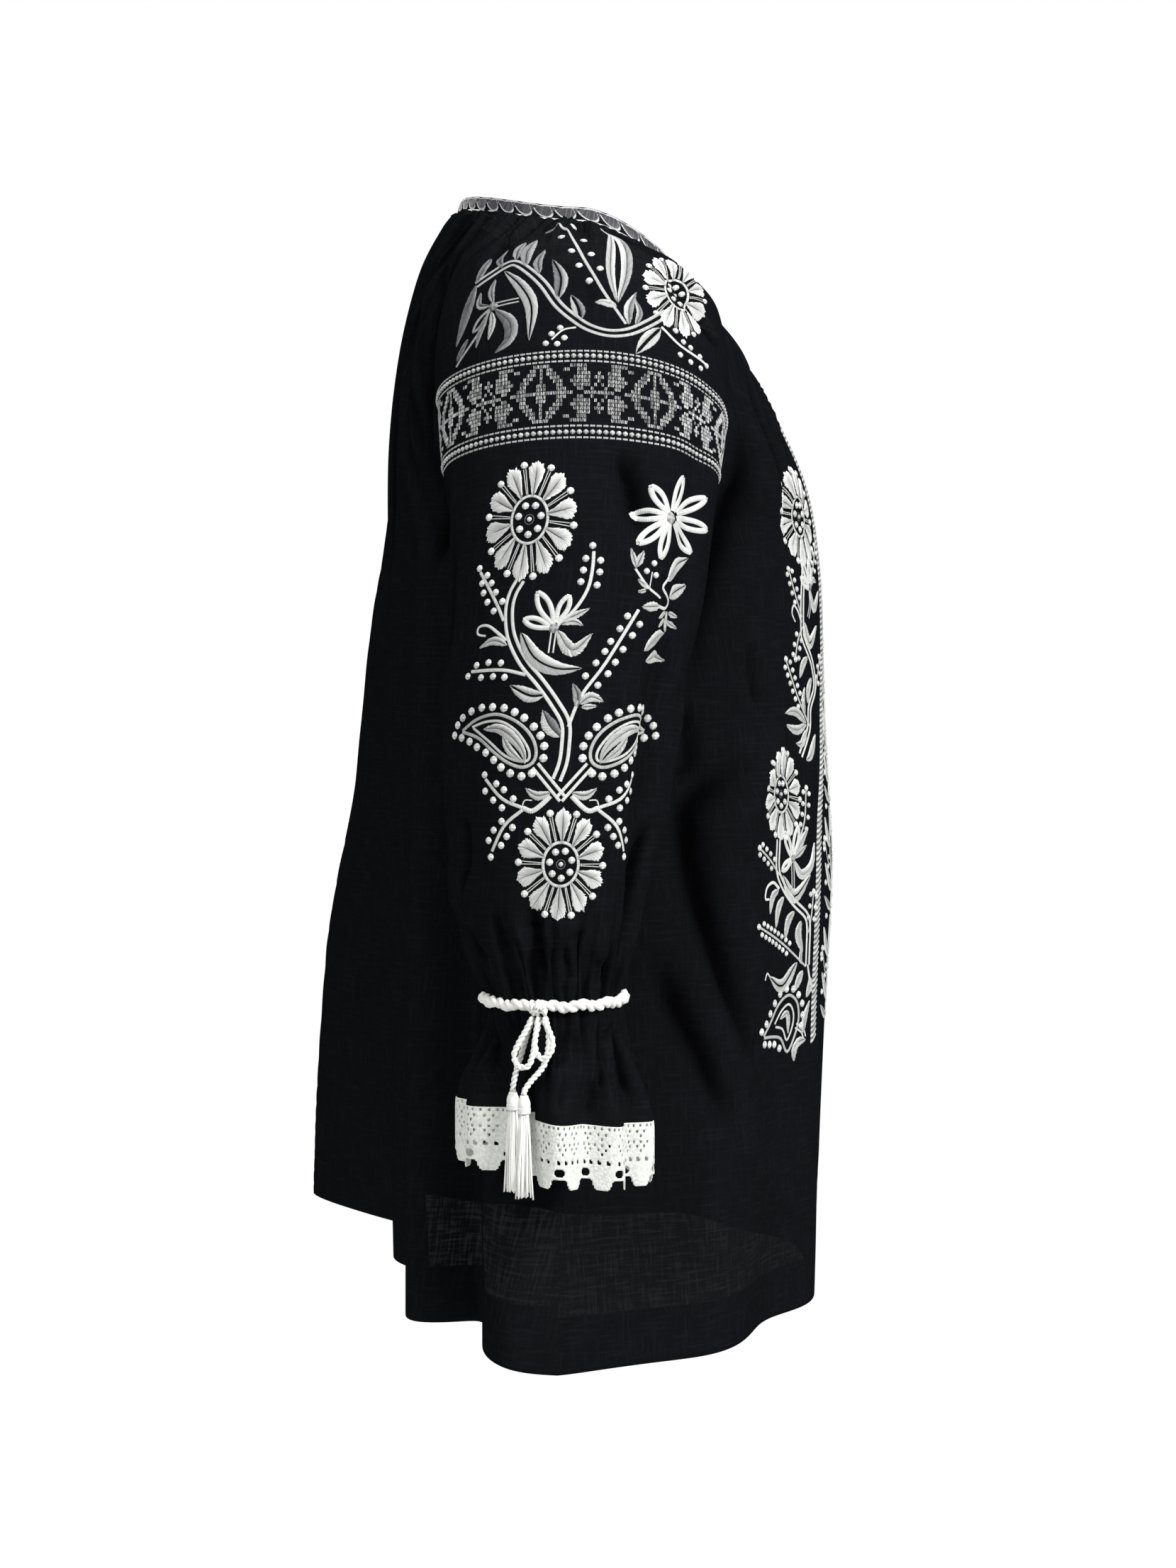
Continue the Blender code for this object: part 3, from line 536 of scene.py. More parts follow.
def cuff_ring(share, fall, side):
    """A ring below the drawstring: fall is 0 at the cord, 1 at the lace and then metres."""
    cuff = SLEEVE[-1]
    angle = 2 * math.pi * share
    degrees = np.degrees(angle)
    flare = ease(fall, 0.0, 1.1)
    wave = RUFFLE_WAVE_DEPTH * ease(fall, 0.1, 1.0) * np.cos(RUFFLE_WAVES * angle + 0.6)
    small = pleat(share, CUFF_PLEATS, 0.35 * CUFF_PLEAT_DEPTH) * (1 - ease(fall, 0.05, 0.7))
    slit = SLIT_DEPTH * ease(fall, 0.0, 0.7) * ease(degrees, SLIT_ANGLE - SLIT_STEP, SLIT_ANGLE)
    slit *= 1 - ease(degrees, SLIT_ANGLE, SLIT_ANGLE + SLIT_RETURN)
    push = wave + small - slit
    x = cuff.cx + 0.004 * flare - (cuff.rx + RUFFLE_FLARE_X * flare + push) * np.cos(angle)
    y = cuff.cy - (cuff.ry + RUFFLE_FLARE_Y * flare + push) * np.sin(angle)
    lift = RUFFLE_BACK_LIFT * (1 - np.sin(angle)) / 2 * flare
    z = cuff.z_outer - RUFFLE_HEIGHT * fall + lift
    return np.stack([side * x, y, z], axis=-1)


class Chart:
    """A cloth as rows of points, with the metres across and down it when it lies flat."""

    def __init__(self, rows, outward):
        self.points = np.array(rows)
        middle = self.points.shape[1] // 2
        steps = np.linalg.norm(np.diff(self.points, axis=1), axis=2)
        across = np.cumsum(np.pad(steps, ((0, 0), (1, 0))), axis=1)
        self.across = across - across[:, middle:middle + 1]
        drops = np.linalg.norm(np.diff(self.points[:, middle], axis=0), axis=1)
        self.down = np.concatenate([[0.0], np.cumsum(drops)])
        # fold: the shade painted into each point's troughs, from 0 to 1
        self.fold = np.zeros(self.across.shape)
        self.turn = 1
        self.find_normals()
        if (self.normals * (self.points - np.array(outward))).sum() < 0:
            self.turn = -1
            self.normals *= -1

    def find_normals(self):
        """The directions that point out of the cloth's face."""
        along = np.gradient(self.points, axis=1)
        below = np.gradient(self.points, axis=0)
        self.normals = unit(np.cross(along, below)) * self.turn

    def push(self, folds, fade):
        """Moves every point along its normal by the folds' height, and keeps the shade painted into
        their troughs.
        """
        height, shade = folds * fade
        self.points = self.points + self.normals * height[..., None]
        self.fold = np.clip(shade, 0.0, 1.0)
        self.find_normals()

    def place(self, across, down, lift):
        """Points of the blouse for places on the flat cloth, lifted off its face."""
        row = np.clip(np.searchsorted(self.down, down) - 1, 0, len(self.down) - 2)
        share = (down - self.down[row]) / (self.down[row + 1] - self.down[row])
        placed = np.empty((len(across), 3))
        for level in np.unique(row):
            here = row == level
            pair = []
            for r in (level, level + 1):
                columns = [self.points[r, :, k] for k in range(3)]
                columns += [self.normals[r, :, k] for k in range(3)]
                found = [np.interp(across[here], self.across[r], values) for values in columns]
                pair.append(np.stack(found, axis=1))
            part = np.clip(share[here], 0.0, 1.0)[:, None]
            mixed = pair[0] * (1 - part) + pair[1] * part
            placed[here] = mixed[:, :3] + unit(mixed[:, 3:]) * lift[here][:, None]
        return placed


# A trough of this many millimetres gets nearly black painted shade
PAINTED_SHADE_DEPTH = 10.0


def crease_height(chart, creases):
    """How far the creases push each point of a cloth, and the shade painted into their troughs."""
    height, shade = np.zeros(chart.across.shape), np.zeros(chart.across.shape)
    down = np.broadcast_to(chart.down[:, None], height.shape)
    for crease in creases:
        line = smooth(crease.keys, 4.0) * MM
        away = np.full(height.shape, np.inf)
        share = np.zeros(height.shape)
        for step, (across, low) in enumerate(line):
            distance = np.hypot(chart.across - across, down - low)
            share = np.where(distance < away, step / (len(line) - 1), share)
            away = np.minimum(away, distance)
        ends = ease(share, 0.0, 0.3) * (1 - ease(share, 0.65, 1.0))
        height += crease.depth * MM * ends * np.exp(-((away / (crease.width * MM)) ** 1.2))
        # Troughs get painted shade: the cloth is blackened along them according to their depth
        dark = min(0.95, max(0.0, -crease.depth / PAINTED_SHADE_DEPTH)) * ends
        shade = np.maximum(shade, dark * np.exp(-((away / (0.75 * crease.width * MM)) ** 1.6)))
    return np.stack([height, shade])


# Small gathers: how many, their reach and width in metres, how deep in metres, and a seed
Gather = namedtuple("Gather", "count reach_low reach_high width depth seed")
SLEEVE_TOP_GATHER = Gather(26, 0.03, 0.12, 2.6 * MM, 4.2 * MM, 11)
SLEEVE_LOW_GATHER = Gather(46, 0.025, 0.1, 1.7 * MM, 6.5 * MM, 21)
FRONT_GATHER = Gather(34, 0.03, 0.16, 2.8 * MM, 4.4 * MM, 22)
BACK_GATHER = Gather(44, 0.06, 0.42, 3.0 * MM, 6.0 * MM, 21)
RUFFLE_GATHER = Gather(36, 0.025, 0.08, 1.6 * MM, 6.0 * MM, 31)


def gather_height(chart, shares, gather, side=0, from_top=True):
    """Small uneven folds that fan out from a gathered edge, and the shade painted into their
    troughs.
    """
    draw = random.Random(gather.seed + side)
    height, shade = np.zeros(chart.across.shape), np.zeros(chart.across.shape)
    away = chart.down if from_top else chart.down[-1] - chart.down
    order = np.argsort(shares)
    for number in range(gather.count):
        spot = (number + draw.uniform(0.1, 0.9)) / gather.count
        spot = shares.min() + (shares.max() - shares.min()) * spot
        reach = draw.uniform(gather.reach_low, gather.reach_high)
        depth = gather.depth * draw.uniform(0.35, 1.0) * draw.choice((-1, 1, -1))
        middle = np.array([np.interp(spot, shares[order], row[order]) for row in chart.across])
        wide = gather.width * (0.7 + 1.6 * away / reach)
        fade = (1 - ease(away, 0.25 * reach, reach)) * ease(away, -2 * MM, 3 * MM)
        bell = np.exp(-(np.abs((chart.across - middle[:, None]) / wide[:, None]) ** 1.2))
        height += depth * bell * fade[:, None]
        # Troughs get painted shade, darkest in their middles
        dark = 0.9 * max(0.0, -depth / gather.depth) * fade[:, None]
        shade = np.maximum(shade, dark * bell ** 1.6)
    return np.stack([height, shade])


def edge_fade(chart, width):
    """1 inside a cloth and 0 at its two side edges."""
    left = chart.across - chart.across[:, :1]
    right = chart.across[:, -1:] - chart.across
    return ease(np.minimum(left, right), 0.0, width)


def grid_faces(levels, columns, first=0):
    """The four-cornered faces between rows of points."""
    index = first + np.arange(levels * columns).reshape(levels, columns)
    corners = (index[:-1, :-1], index[:-1, 1:], index[1:, 1:], index[1:, :-1])
    return np.stack([corner.ravel() for corner in corners], axis=1)


def add_piece(name, points, faces, material, attributes=None, smooth=True):
    """A mesh piece that rides on the frame, with values stored on its points."""
    mesh = bpy.data.meshes.new(name)
    corners = faces.tolist() if isinstance(faces, np.ndarray) else faces
    mesh.from_pydata(np.asarray(points).tolist(), [], corners)
    for label, values in (attributes or {}).items():
        values = np.asarray(values, np.float32)
        kind = "FLOAT_VECTOR" if values.ndim == 2 else "FLOAT"
        field = mesh.attributes.new(label, kind, "POINT")
        field.data.foreach_set("vector" if values.ndim == 2 else "value", values.ravel())
    mesh.materials.append(material)
    if smooth:
        mesh.shade_smooth()
    mesh.validate()
    made = bpy.data.objects.new(name, mesh)
    bpy.context.scene.collection.objects.link(made)
    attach(made, BODY_NAME)
    return made


def stands_for(piece, slot, *nodes):
    """Hides the solids that a piece takes the place of; its slot is not used."""
    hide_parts(*nodes)
    return piece


# How far the turned-up hem lies inside the cloth
HEM_GAP = 0.9 * MM


def add_cloth(name, chart, material, hem=0.0):
    """A cloth piece; a hem turns its last rows up on the inside."""
    points, across, fold = chart.points, chart.across, chart.fold
    down = np.broadcast_to(chart.down[:, None], across.shape)
    if hem:
        first = int(np.searchsorted(chart.down, chart.down[-1] - hem))
        inner = points[first:][::-1] - chart.normals[first:][::-1] * HEM_GAP
        points = np.concatenate([points, inner])
        across = np.concatenate([across, across[first:][::-1]])
        fold = np.concatenate([fold, fold[first:][::-1]])
        down = np.concatenate([down, 2 * chart.down[-1] - down[first:][::-1]])
    levels, columns = across.shape
    faces = grid_faces(levels, columns)
    if chart.turn < 0:
        faces = faces[:, ::-1]
    flat = np.stack([across, down, 0 * across], axis=-1).reshape(-1, 3)
    # fold: the painted shade of the troughs, which blackens the gauze
    values = {"cloth": flat, "fold": fold.ravel()}
    return add_piece(name, points.reshape(-1, 3), faces, material, values)


def steps_between(low, high, length):
    """Evenly spaced values for a stretch of the given length."""
    return np.linspace(low, high, max(2, round(length / sizes().cloth_step)) + 1)


CHARTS = {}


def chart_of(name):
    """The flat chart of a cloth that was made before."""
    if name not in CHARTS:
        raise RuntimeError(f"make the {name} first")
    return CHARTS[name]


def node(tree, kind, inputs=None, **settings):
    """Adds a node with its settings and links, and returns it."""
    made = tree.nodes.new(kind)
    for setting, value in settings.items():
        setattr(made, setting, value)
    for socket, value in (inputs or {}).items():
        if isinstance(value, bpy.types.NodeSocket):
            tree.links.new(value, made.inputs[socket])
        else:
            made.inputs[socket].default_value = value
    return made


def new_material(name):
    """An empty material with its node tree and its shader."""
    made = bpy.data.materials.new(name)
    made.use_nodes = True
    return made, made.node_tree, made.node_tree.nodes["Principled BSDF"]


# Sockets of the Mix node for colours
MIX_FACTOR, MIX_A, MIX_B, MIX_RESULT = 0, 6, 7, 2


def blend(tree, factor, first, second):
    """A mix of two colours; each is a socket, or red, green and blue."""
    ends = [end if isinstance(end, bpy.types.NodeSocket) else (*end, 1) for end in (first, second)]
    inputs = {MIX_FACTOR: factor, MIX_A: ends[0], MIX_B: ends[1]}
    return node(tree, "ShaderNodeMix", inputs, data_type="RGBA").outputs[MIX_RESULT]


def relief(tree, height, strength, distance, **settings):
    """The bump that a height gives."""
    inputs = {"Height": height, "Strength": strength, "Distance": distance}
    return node(tree, "ShaderNodeBump", inputs, **settings).outputs[0]


def dress(tree, shader, colour, roughness, gloss, bump=None):
    """Gives a shader its colour, its roughness and gloss, and a bump if it has one."""
    tree.links.new(colour, shader.inputs["Base Color"])
    if bump is not None:
        tree.links.new(bump, shader.inputs["Normal"])
    shader.inputs["Roughness"].default_value = roughness
    shader.inputs["Specular IOR Level"].default_value = gloss


@functools.lru_cache(maxsize=None)
def gauze_material():
    """Cotton gauze, plain woven from uneven slub yarn, dyed black.

    It looks matt and nearly black, with a faint crosshatch of thicker threads, and lets
    a little light through between them; painted shade makes it nearly fully black in the troughs of
    creases and gathers.
    The real threads lie 0.5 mm apart; they are drawn several times coarser, so that
    they show.
    """
    made, tree, shader = new_material("Black slub cotton gauze")
    place = node(tree, "ShaderNodeAttribute", attribute_name="cloth").outputs["Vector"]
    spacing = sizes().slub
    long_way = 1 / (13 * spacing)
    hatch = []
    for stretch in ((1 / spacing, long_way, 1), (long_way, 1 / spacing, 1)):
        scaled = node(tree, "ShaderNodeVectorMath", {0: place, 1: stretch}, operation="MULTIPLY")
        grain = node(
            tree, "ShaderNodeTexNoise",
            {"Vector": scaled.outputs[0], "Scale": 1.0, "Detail": 3.0, "Roughness": 0.65},
        )
        hatch.append(grain.outputs["Fac"])
    pair = {0: hatch[0], 1: hatch[1]}
    threads = node(tree, "ShaderNodeMath", pair, operation="MAXIMUM").outputs[0]
    thick = node(
        tree, "ShaderNodeMapRange",
        {"Value": threads, "From Min": 0.5, "From Max": 0.78, "To Min": 0.0, "To Max": 1.0},
    ).outputs[0]
    yarn = blend(tree, thick, colours().gauze, colours().slub)
    # fold holds painted shade: the troughs of creases and gathers are painted towards the
    # near-black #030304
    fold = node(tree, "ShaderNodeAttribute", attribute_name="fold").outputs["Fac"]
    shaded = blend(tree, fold, yarn, linear("#030304"))
    product = node(tree, "ShaderNodeMath", pair, operation="MULTIPLY").outputs[0]
    cover = node(
        tree, "ShaderNodeMapRange",
        {"Value": product, "From Min": 0.17, "From Max": 0.28, "To Min": 0.991, "To Max": 1.0},
    )
    tree.links.new(cover.outputs[0], shader.inputs["Alpha"])
    dress(tree, shader, shaded, 1.0, 0.0, relief(tree, threads, 0.25, 0.4 * MM))
    return made


@functools.lru_cache(maxsize=None)
def lace_material():
    """Bleached cotton yarn, crocheted by machine: matt white with soft small bumps."""
    made, tree, shader = new_material("White crocheted cotton")
    place = node(tree, "ShaderNodeAttribute", attribute_name="cloth").outputs["Vector"]
    loops = node(
        tree, "ShaderNodeTexVoronoi", {"Vector": place, "Scale": 1 / (1.6 * MM)},
        feature="SMOOTH_F1",
    ).outputs["Distance"]
    # The yarn is painted greyer in the hollows between the loops, as shade
    colour = blend(tree, loops, colours().lace, linear("#B9BBB6"))
    dress(tree, shader, colour, 0.85, 0.25, relief(tree, loops, 0.8, 0.5 * MM, invert=True))
    return made


@functools.lru_cache(maxsize=None)
def cord_material():
    """Mercerised cotton cord of two twisted strands: white with a slight silky gloss."""
    made, tree, shader = new_material("White twisted cotton cord")
    place = node(tree, "ShaderNodeTexCoord").outputs["Object"]
    fibres = node(
        tree, "ShaderNodeTexNoise", {"Vector": place, "Scale": 1 / (1.2 * MM), "Detail": 3.0},
    ).outputs["Fac"]
    colour = blend(tree, fibres, linear("#DEDEDA"), colours().cord)
    dress(tree, shader, colour, 0.6, 0.35, relief(tree, fibres, 0.4, 0.3 * MM))
    return made


# Metres of a cloth: half its width, then its length above and below the underarm
Span = namedtuple("Span", "half upper lower")
SLEEVE_SPAN = Span(0.33, 0.23, 0.34)
PANEL_SPAN = Span(0.28, 0.22, 0.5)
RUFFLE_HALF = 0.34
RUFFLE_ROWS = 26
# Creases and gathers fade out over this width at a cloth's side edges
SEAM_FADE = 0.02
RUFFLE_FADE = 0.01


def shares_across(start, stop, half):
    """Shares across a cloth, with points about a cloth step apart and one in the middle."""
    return np.linspace(start, stop, 2 * round(half / sizes().cloth_step) + 1)


def levels_down(span):
    """Steps down a cloth, from 0 at the neck over 1 at the underarm to 2."""
    levels = [steps_between(0, 1, span.upper)[:-1], steps_between(1, 2, span.lower)]
    return [float(level) for level in np.concatenate(levels)]


def lay_cloth(key, chart, cad_node, hem=0.0):
    """Makes a cloth of gauze from its chart, and keeps the chart for the stitches."""
    CHARTS[key] = chart
    piece = add_cloth("gauze_" + key, chart, gauze_material(), hem)
    return stands_for(piece, "gauze", cad_node)


def sleeve_chart(side):
    """A sleeve from the neckband to the drawstring, its middle on the outer line."""
    shares = shares_across(1.0, 0.0, SLEEVE_SPAN.half)
    rows = [sleeve_points(shares, level, side) for level in levels_down(SLEEVE_SPAN)]
    chart = Chart(rows, (side * 0.25, 0.0, -0.3))
    small = gather_height(chart, shares, SLEEVE_TOP_GATHER, side)
    small += gather_height(chart, shares, SLEEVE_LOW_GATHER, side, from_top=False)
    small += crease_height(chart, SLEEVE_CREASES)
    chart.push(small * sizes().crease, edge_fade(chart, SEAM_FADE))
    return chart


class BLOUSE_OT_sleeves(bpy.types.Operator):
    """Makes both sleeves of gauze."""

    bl_idname = "blouse.sleeves"
    bl_label = "Sleeves"

    def execute(self, context):
        for tag, side in SIDES:
            piece = lay_cloth("sleeve_" + tag, sleeve_chart(side), "sleeve_" + tag)
        return {"FINISHED"}


def panel_chart(back):
    """The front or back from the neckband to the hem, its middle on the centre line."""
    shares = shares_across(1.0, -1.0, PANEL_SPAN.half)
    rows = [body_points(shares, level, back) for level in levels_down(PANEL_SPAN)]
    chart = Chart(rows, (0.0, -0.02, -0.3))
    small = gather_height(chart, shares, BACK_GATHER if back else FRONT_GATHER)
    small += crease_height(chart, BACK_CREASES if back else FRONT_CREASES)
    chart.push(small * sizes().crease, edge_fade(chart, SEAM_FADE))
    return chart


class BLOUSE_OT_body(bpy.types.Operator):
    """Makes the front and the back of gauze, with turned-up hems."""

    bl_idname = "blouse.body"
    bl_label = "Front and back"

    def execute(self, context):
        for name, back in (("front", False), ("back", True)):
            piece = lay_cloth(name, panel_chart(back), name + "_panel", sizes().hem)
        return {"FINISHED"}


class BLOUSE_OT_neckband(bpy.types.Operator):
    """Makes the narrow band at the neck."""

    bl_idname = "blouse.neckband"
    bl_label = "Neckband"

    def execute(self, context):
        angles = np.linspace(-math.pi, math.pi, 241)
        rows = [neck_point(angles, drop) for drop in np.linspace(0.0, 1.0, 5)]
        chart = Chart(rows, (0.0, -0.02, -0.03))
        CHARTS["neckband"] = chart
        piece = add_cloth("neckband_cloth", chart, gauze_material())
        stands_for(piece, "neckband", "neckband")
        return {"FINISHED"}


def ruffle_chart(side):
    """The flounce from the drawstring to the lace."""
    shares = shares_across(0.0, 1.0, RUFFLE_HALF)
    falls = np.linspace(0.0, 1.0, RUFFLE_ROWS)
    rows = [cuff_ring(shares, float(fall), side) for fall in falls]
    chart = Chart(rows, (side * 0.32, 0.008, -0.6))
    small = gather_height(chart, shares, RUFFLE_GATHER, side)
    small += crease_height(chart, RUFFLE_CREASES)
    chart.push(small * sizes().crease, edge_fade(chart, RUFFLE_FADE))
    return chart


class BLOUSE_OT_ruffles(bpy.types.Operator):
    """Makes the flounces below the drawstrings."""

    bl_idname = "blouse.ruffles"
    bl_label = "Cuff flounces"

    def execute(self, context):
        for tag, side in SIDES:
            piece = lay_cloth("ruffle_" + tag, ruffle_chart(side), "ruffle_" + tag)
        return {"FINISHED"}


# One repeat of the crochet edging, charted top to bottom: how many rows are
# alike, then the row, where a dot is a gap. A cell is about 1 mm.
LACE_YARN = 0.9 * MM
LACE_ROWS = (
    (1, "######################"),
    (2, "##.###.###.###.###.##."),
    (2, "######################"),
    (2, "####.###.####.###.####"),
    (1, "######################"),
    (2, "######.########.######"),
    (2, "######################"),
    (2, "##.###.###.###.###.###"),
    (1, "######################"),
    (2, "####.###.####.###.####"),
    (1, "######################"),
    (2, "######.########.######"),
    (3, "######################"),
    (1, "###.####.####.####.###"),
    (2, "##..###..###..###..###"),
    (3, "######################"),
    (1, "###############.....##"),
    (3, "##############.......#"),
    (1, "###############.....##"),
    (2, "######################"),
    (1, "#############........."),
    (3, ".###########.........."),
    (2, "..#########..........."),
    (1, "...#######............"),
)
LACE_CHART = [row for count, row in LACE_ROWS for _ in range(count)]


class BLOUSE_OT_lace(bpy.types.Operator):
    """Makes the crochet edging below the flounces."""

    bl_idname = "blouse.lace"
    bl_label = "Lace"

    def execute(self, context):
        repeat = len(LACE_CHART[0])
        for tag, side in SIDES:
            shares = np.linspace(0.0, 1.0, LACE_REPEATS * repeat + 1)
            drops = np.linspace(0.0, LACE_DEPTH, len(LACE_CHART) + 1)
            rows = [cuff_ring(shares, 1.0 + float(drop) / RUFFLE_HEIGHT, side) for drop in drops]
            chart = Chart(rows, (side * 0.32, 0.008, -0.66))
            faces = grid_faces(len(rows), len(shares))
            cells = np.array([[mark == "#" for mark in line] for line in LACE_CHART])
            kept = faces[np.tile(cells, LACE_REPEATS).ravel()]
            if chart.turn < 0:
                kept = kept[:, ::-1]
            flat = np.stack(
                [chart.across, np.broadcast_to(chart.down[:, None], chart.across.shape),
                 0 * chart.across], axis=-1,
            )
            piece = add_piece(
                "lace_" + tag, chart.points.reshape(-1, 3), kept, lace_material(),
                {"cloth": flat.reshape(-1, 3)},
            )
            tidy_lace(piece.data)
            solid = piece.modifiers.new("Yarn thickness", "SOLIDIFY")
            solid.thickness = LACE_YARN
            solid.offset = 0.0
            stands_for(piece, "lace", "lace_front_" + tag, "lace_back_" + tag)
        return {"FINISHED"}


def tidy_lace(mesh):
    """Takes loose points off, closes the ring and rounds the gaps' corners."""
    shape = bmesh.new()
    shape.from_mesh(mesh)
    loose = [point for point in shape.verts if not point.link_faces]
    bmesh.ops.delete(shape, geom=loose, context="VERTS")
    bmesh.ops.remove_doubles(shape, verts=shape.verts, dist=0.02 * MM)
    rims = [point for point in shape.verts if point.is_boundary]
    bmesh.ops.smooth_vert(shape, verts=rims, factor=0.4, use_axis_x=True, use_axis_y=True,
                          use_axis_z=True)
    shape.to_mesh(mesh)
    shape.free()


def cord_route(keys):
    """A smooth line through key points, with more points between each two."""
    points = []
    for i in range(len(keys) - 1):
        before = keys[max(i - 1, 0)]
        after = keys[min(i + 2, len(keys) - 1)]
        slope_in = (keys[i + 1] - before) / (2 if i else 1)
        slope_out = (after - keys[i]) / (2 if i + 2 < len(keys) else 1)
        for share in np.arange(0, 1, 0.25):
            points.append(hermite(keys[i], keys[i + 1], slope_in, slope_out, share))
    points.append(keys[-1])
    return np.array(points)


def spaced(line, step, closed=False):
    """The line again with even steps."""
    line = np.asarray(line, float)
    if closed:
        line = np.concatenate([line, line[:1]])
    lengths = np.linalg.norm(np.diff(line, axis=0), axis=1)
    along = np.concatenate([[0.0], np.cumsum(lengths)])
    count = max(2, round(along[-1] / step))
    at = np.linspace(0.0, along[-1], count + 1)
    return np.stack([np.interp(at, along, line[:, k]) for k in range(line.shape[1])], axis=1)


def tube(line, radius, sides=8, closed=False):
    """Points and faces of a tube with rounded ends about a line; radius may vary."""
    line = np.asarray(line)
    radius = np.broadcast_to(np.asarray(radius, float), len(line))
    ahead = unit(np.gradient(line, axis=0))
    if closed:
        ahead = unit(np.roll(line, -1, axis=0) - np.roll(line, 1, axis=0))
    normal = np.cross(ahead[0], [0.31, 0.52, 0.79])
    rings = []
    for point, way, size in zip(line, ahead, radius):
        normal = unit(normal - way * (normal @ way))
        binormal = np.cross(way, normal)
        turns = np.linspace(0, 2 * math.pi, sides, endpoint=False)[:, None]
        rings.append(point + size * (np.cos(turns) * normal + np.sin(turns) * binormal))
    points = np.concatenate(rings)
    index = np.arange(len(points)).reshape(len(line), sides)
    below = np.roll(index, -1, axis=0) if closed else index[1:]
    above = index if closed else index[:-1]
    faces = np.stack(
        [above, np.roll(above, -1, axis=1), np.roll(below, -1, axis=1), below], axis=-1,
    ).reshape(-1, 4).tolist()
    if not closed:
        faces += [index[0][::-1].tolist(), index[-1].tolist()]
    return points, faces


def joined(parts):
    """One mesh's points and faces from those of several."""
    all_points, all_faces, first = [], [], 0
    for points, faces in parts:
        all_points.append(points)
        all_faces += [[corner + first for corner in face] for face in faces]
        first += len(points)
    return np.concatenate(all_points), all_faces


# Two strands lie this much wider than the round cord they stand for
STRAND_SPREAD = 1.08
# Where a strand's middle runs and how thick it is, in parts of the whole cord's width
STRAND_OUT = 0.245
STRAND_RADIUS = 0.27
TWIST_STEPS = 8


def twisted(line, width, twist, closed=False):
    """Two strands that wind round each other along a line."""
    line = spaced(line, twist / TWIST_STEPS, closed)
    if closed:
        line = line[:-1]
    ahead = unit(np.gradient(line, axis=0))
    up = np.cross(ahead, [0.21, 0.13, 0.97])
    normal = unit(np.cross(up, ahead))
    side = np.cross(ahead, normal)
    turns = max(1, round(len(line) / TWIST_STEPS))
    phase = np.linspace(0, 2 * math.pi * turns, len(line), endpoint=not closed)[:, None]
    strands = []
    for angle in (phase, phase + math.pi):
        middle = line + STRAND_OUT * width * (np.cos(angle) * normal + np.sin(angle) * side)
        strands.append(tube(middle, STRAND_RADIUS * width, 7, closed))
    return joined(strands)


def knot_centre(side):
    """Where the bow is tied, on the outer side of the cuff."""
    cuff = SLEEVE[-1]
    angle = math.radians(KNOT_ANGLE)
    reach = CORD_CLEARANCE + CORD / 2 + KNOT_SIZE[0] / 2 + SEAM_GAP
    x = cuff.cx - (cuff.rx + reach) * math.cos(angle)
    return Vector((side * x, cuff.cy - (cuff.ry + reach) * math.sin(angle), cuff.z_outer))


def knot_turn(side):
    """The turn that lays the bow along the cuff's round."""
    return Matrix.Rotation(side * math.radians(KNOT_ANGLE - 180), 3, "Z")


def placed(offsets, side):
    """Route offsets turned into places for the right or the left cuff."""
    foot = knot_centre(side) - Vector((0, 0, KNOT_SIZE[2] / 2))
    turn = knot_turn(side)
    keys = [foot + turn @ Vector((side * way.out, way.back, way.up)) * MM for way in offsets]
    return cord_route([np.array(key) for key in keys])


class BLOUSE_OT_drawstrings(bpy.types.Operator):
    """Makes the cords that draw the cuffs in, with a knot on each."""

    bl_idname = "blouse.drawstrings"
    bl_label = "Drawstrings"

    def execute(self, context):
        cuff = SLEEVE[-1]
        for tag, side in SIDES:
            angle = np.linspace(0, 2 * math.pi, 120, endpoint=False)
            out = CORD_CLEARANCE - RING_INSET + RING_SWAY * np.sin(RING_WAVES * angle)
            x = cuff.cx - (cuff.rx + out) * np.cos(angle)
            y = cuff.cy - (cuff.ry + out) * np.sin(angle)
            z = cuff.z_outer + RING_RISE * np.sin(RING_WAVES * angle + 1.0)
            line = np.stack([side * x, y, z], axis=1)
            ring = twisted(line, RING_WIDTH, RING_TWIST_SHARE * sizes().cord_twist, closed=True)
            piece = add_piece("drawstring_cord_" + tag, *ring, cord_material())
            stands_for(piece, "cord", "drawstring_" + tag)
            piece = add_piece("knot_cord_" + tag, *knot_mesh(side), cord_material())
            stands_for(piece, "cord", "knot_" + tag)
        return {"FINISHED"}


# The rounds of cord in a knot, in millimetres: how far back, how tilted and how wide
KNOT_ROUNDS = ((-3.4, 0.25, 4.4), (0.3, -0.2, 4.8), (3.8, 0.15, 4.2))


def knot_mesh(side):
    """Cord wound three times over the middle of the bow."""
    centre = np.array(knot_centre(side))
    turn = np.array(knot_turn(side))
    turns = np.linspace(0, 2 * math.pi, 24, endpoint=False)
    rounds = []
    for back, tilt, width in KNOT_ROUNDS:
        ring = np.stack(
            [side * 2.6 * np.cos(turns), back + tilt * 3 * np.sin(turns), 3.4 * np.sin(turns)],
            axis=1,
        ) * MM
        line = centre + ring @ turn.T
        rounds.append(twisted(line, width * MM, sizes().cord_twist, closed=True))
    return joined(rounds)


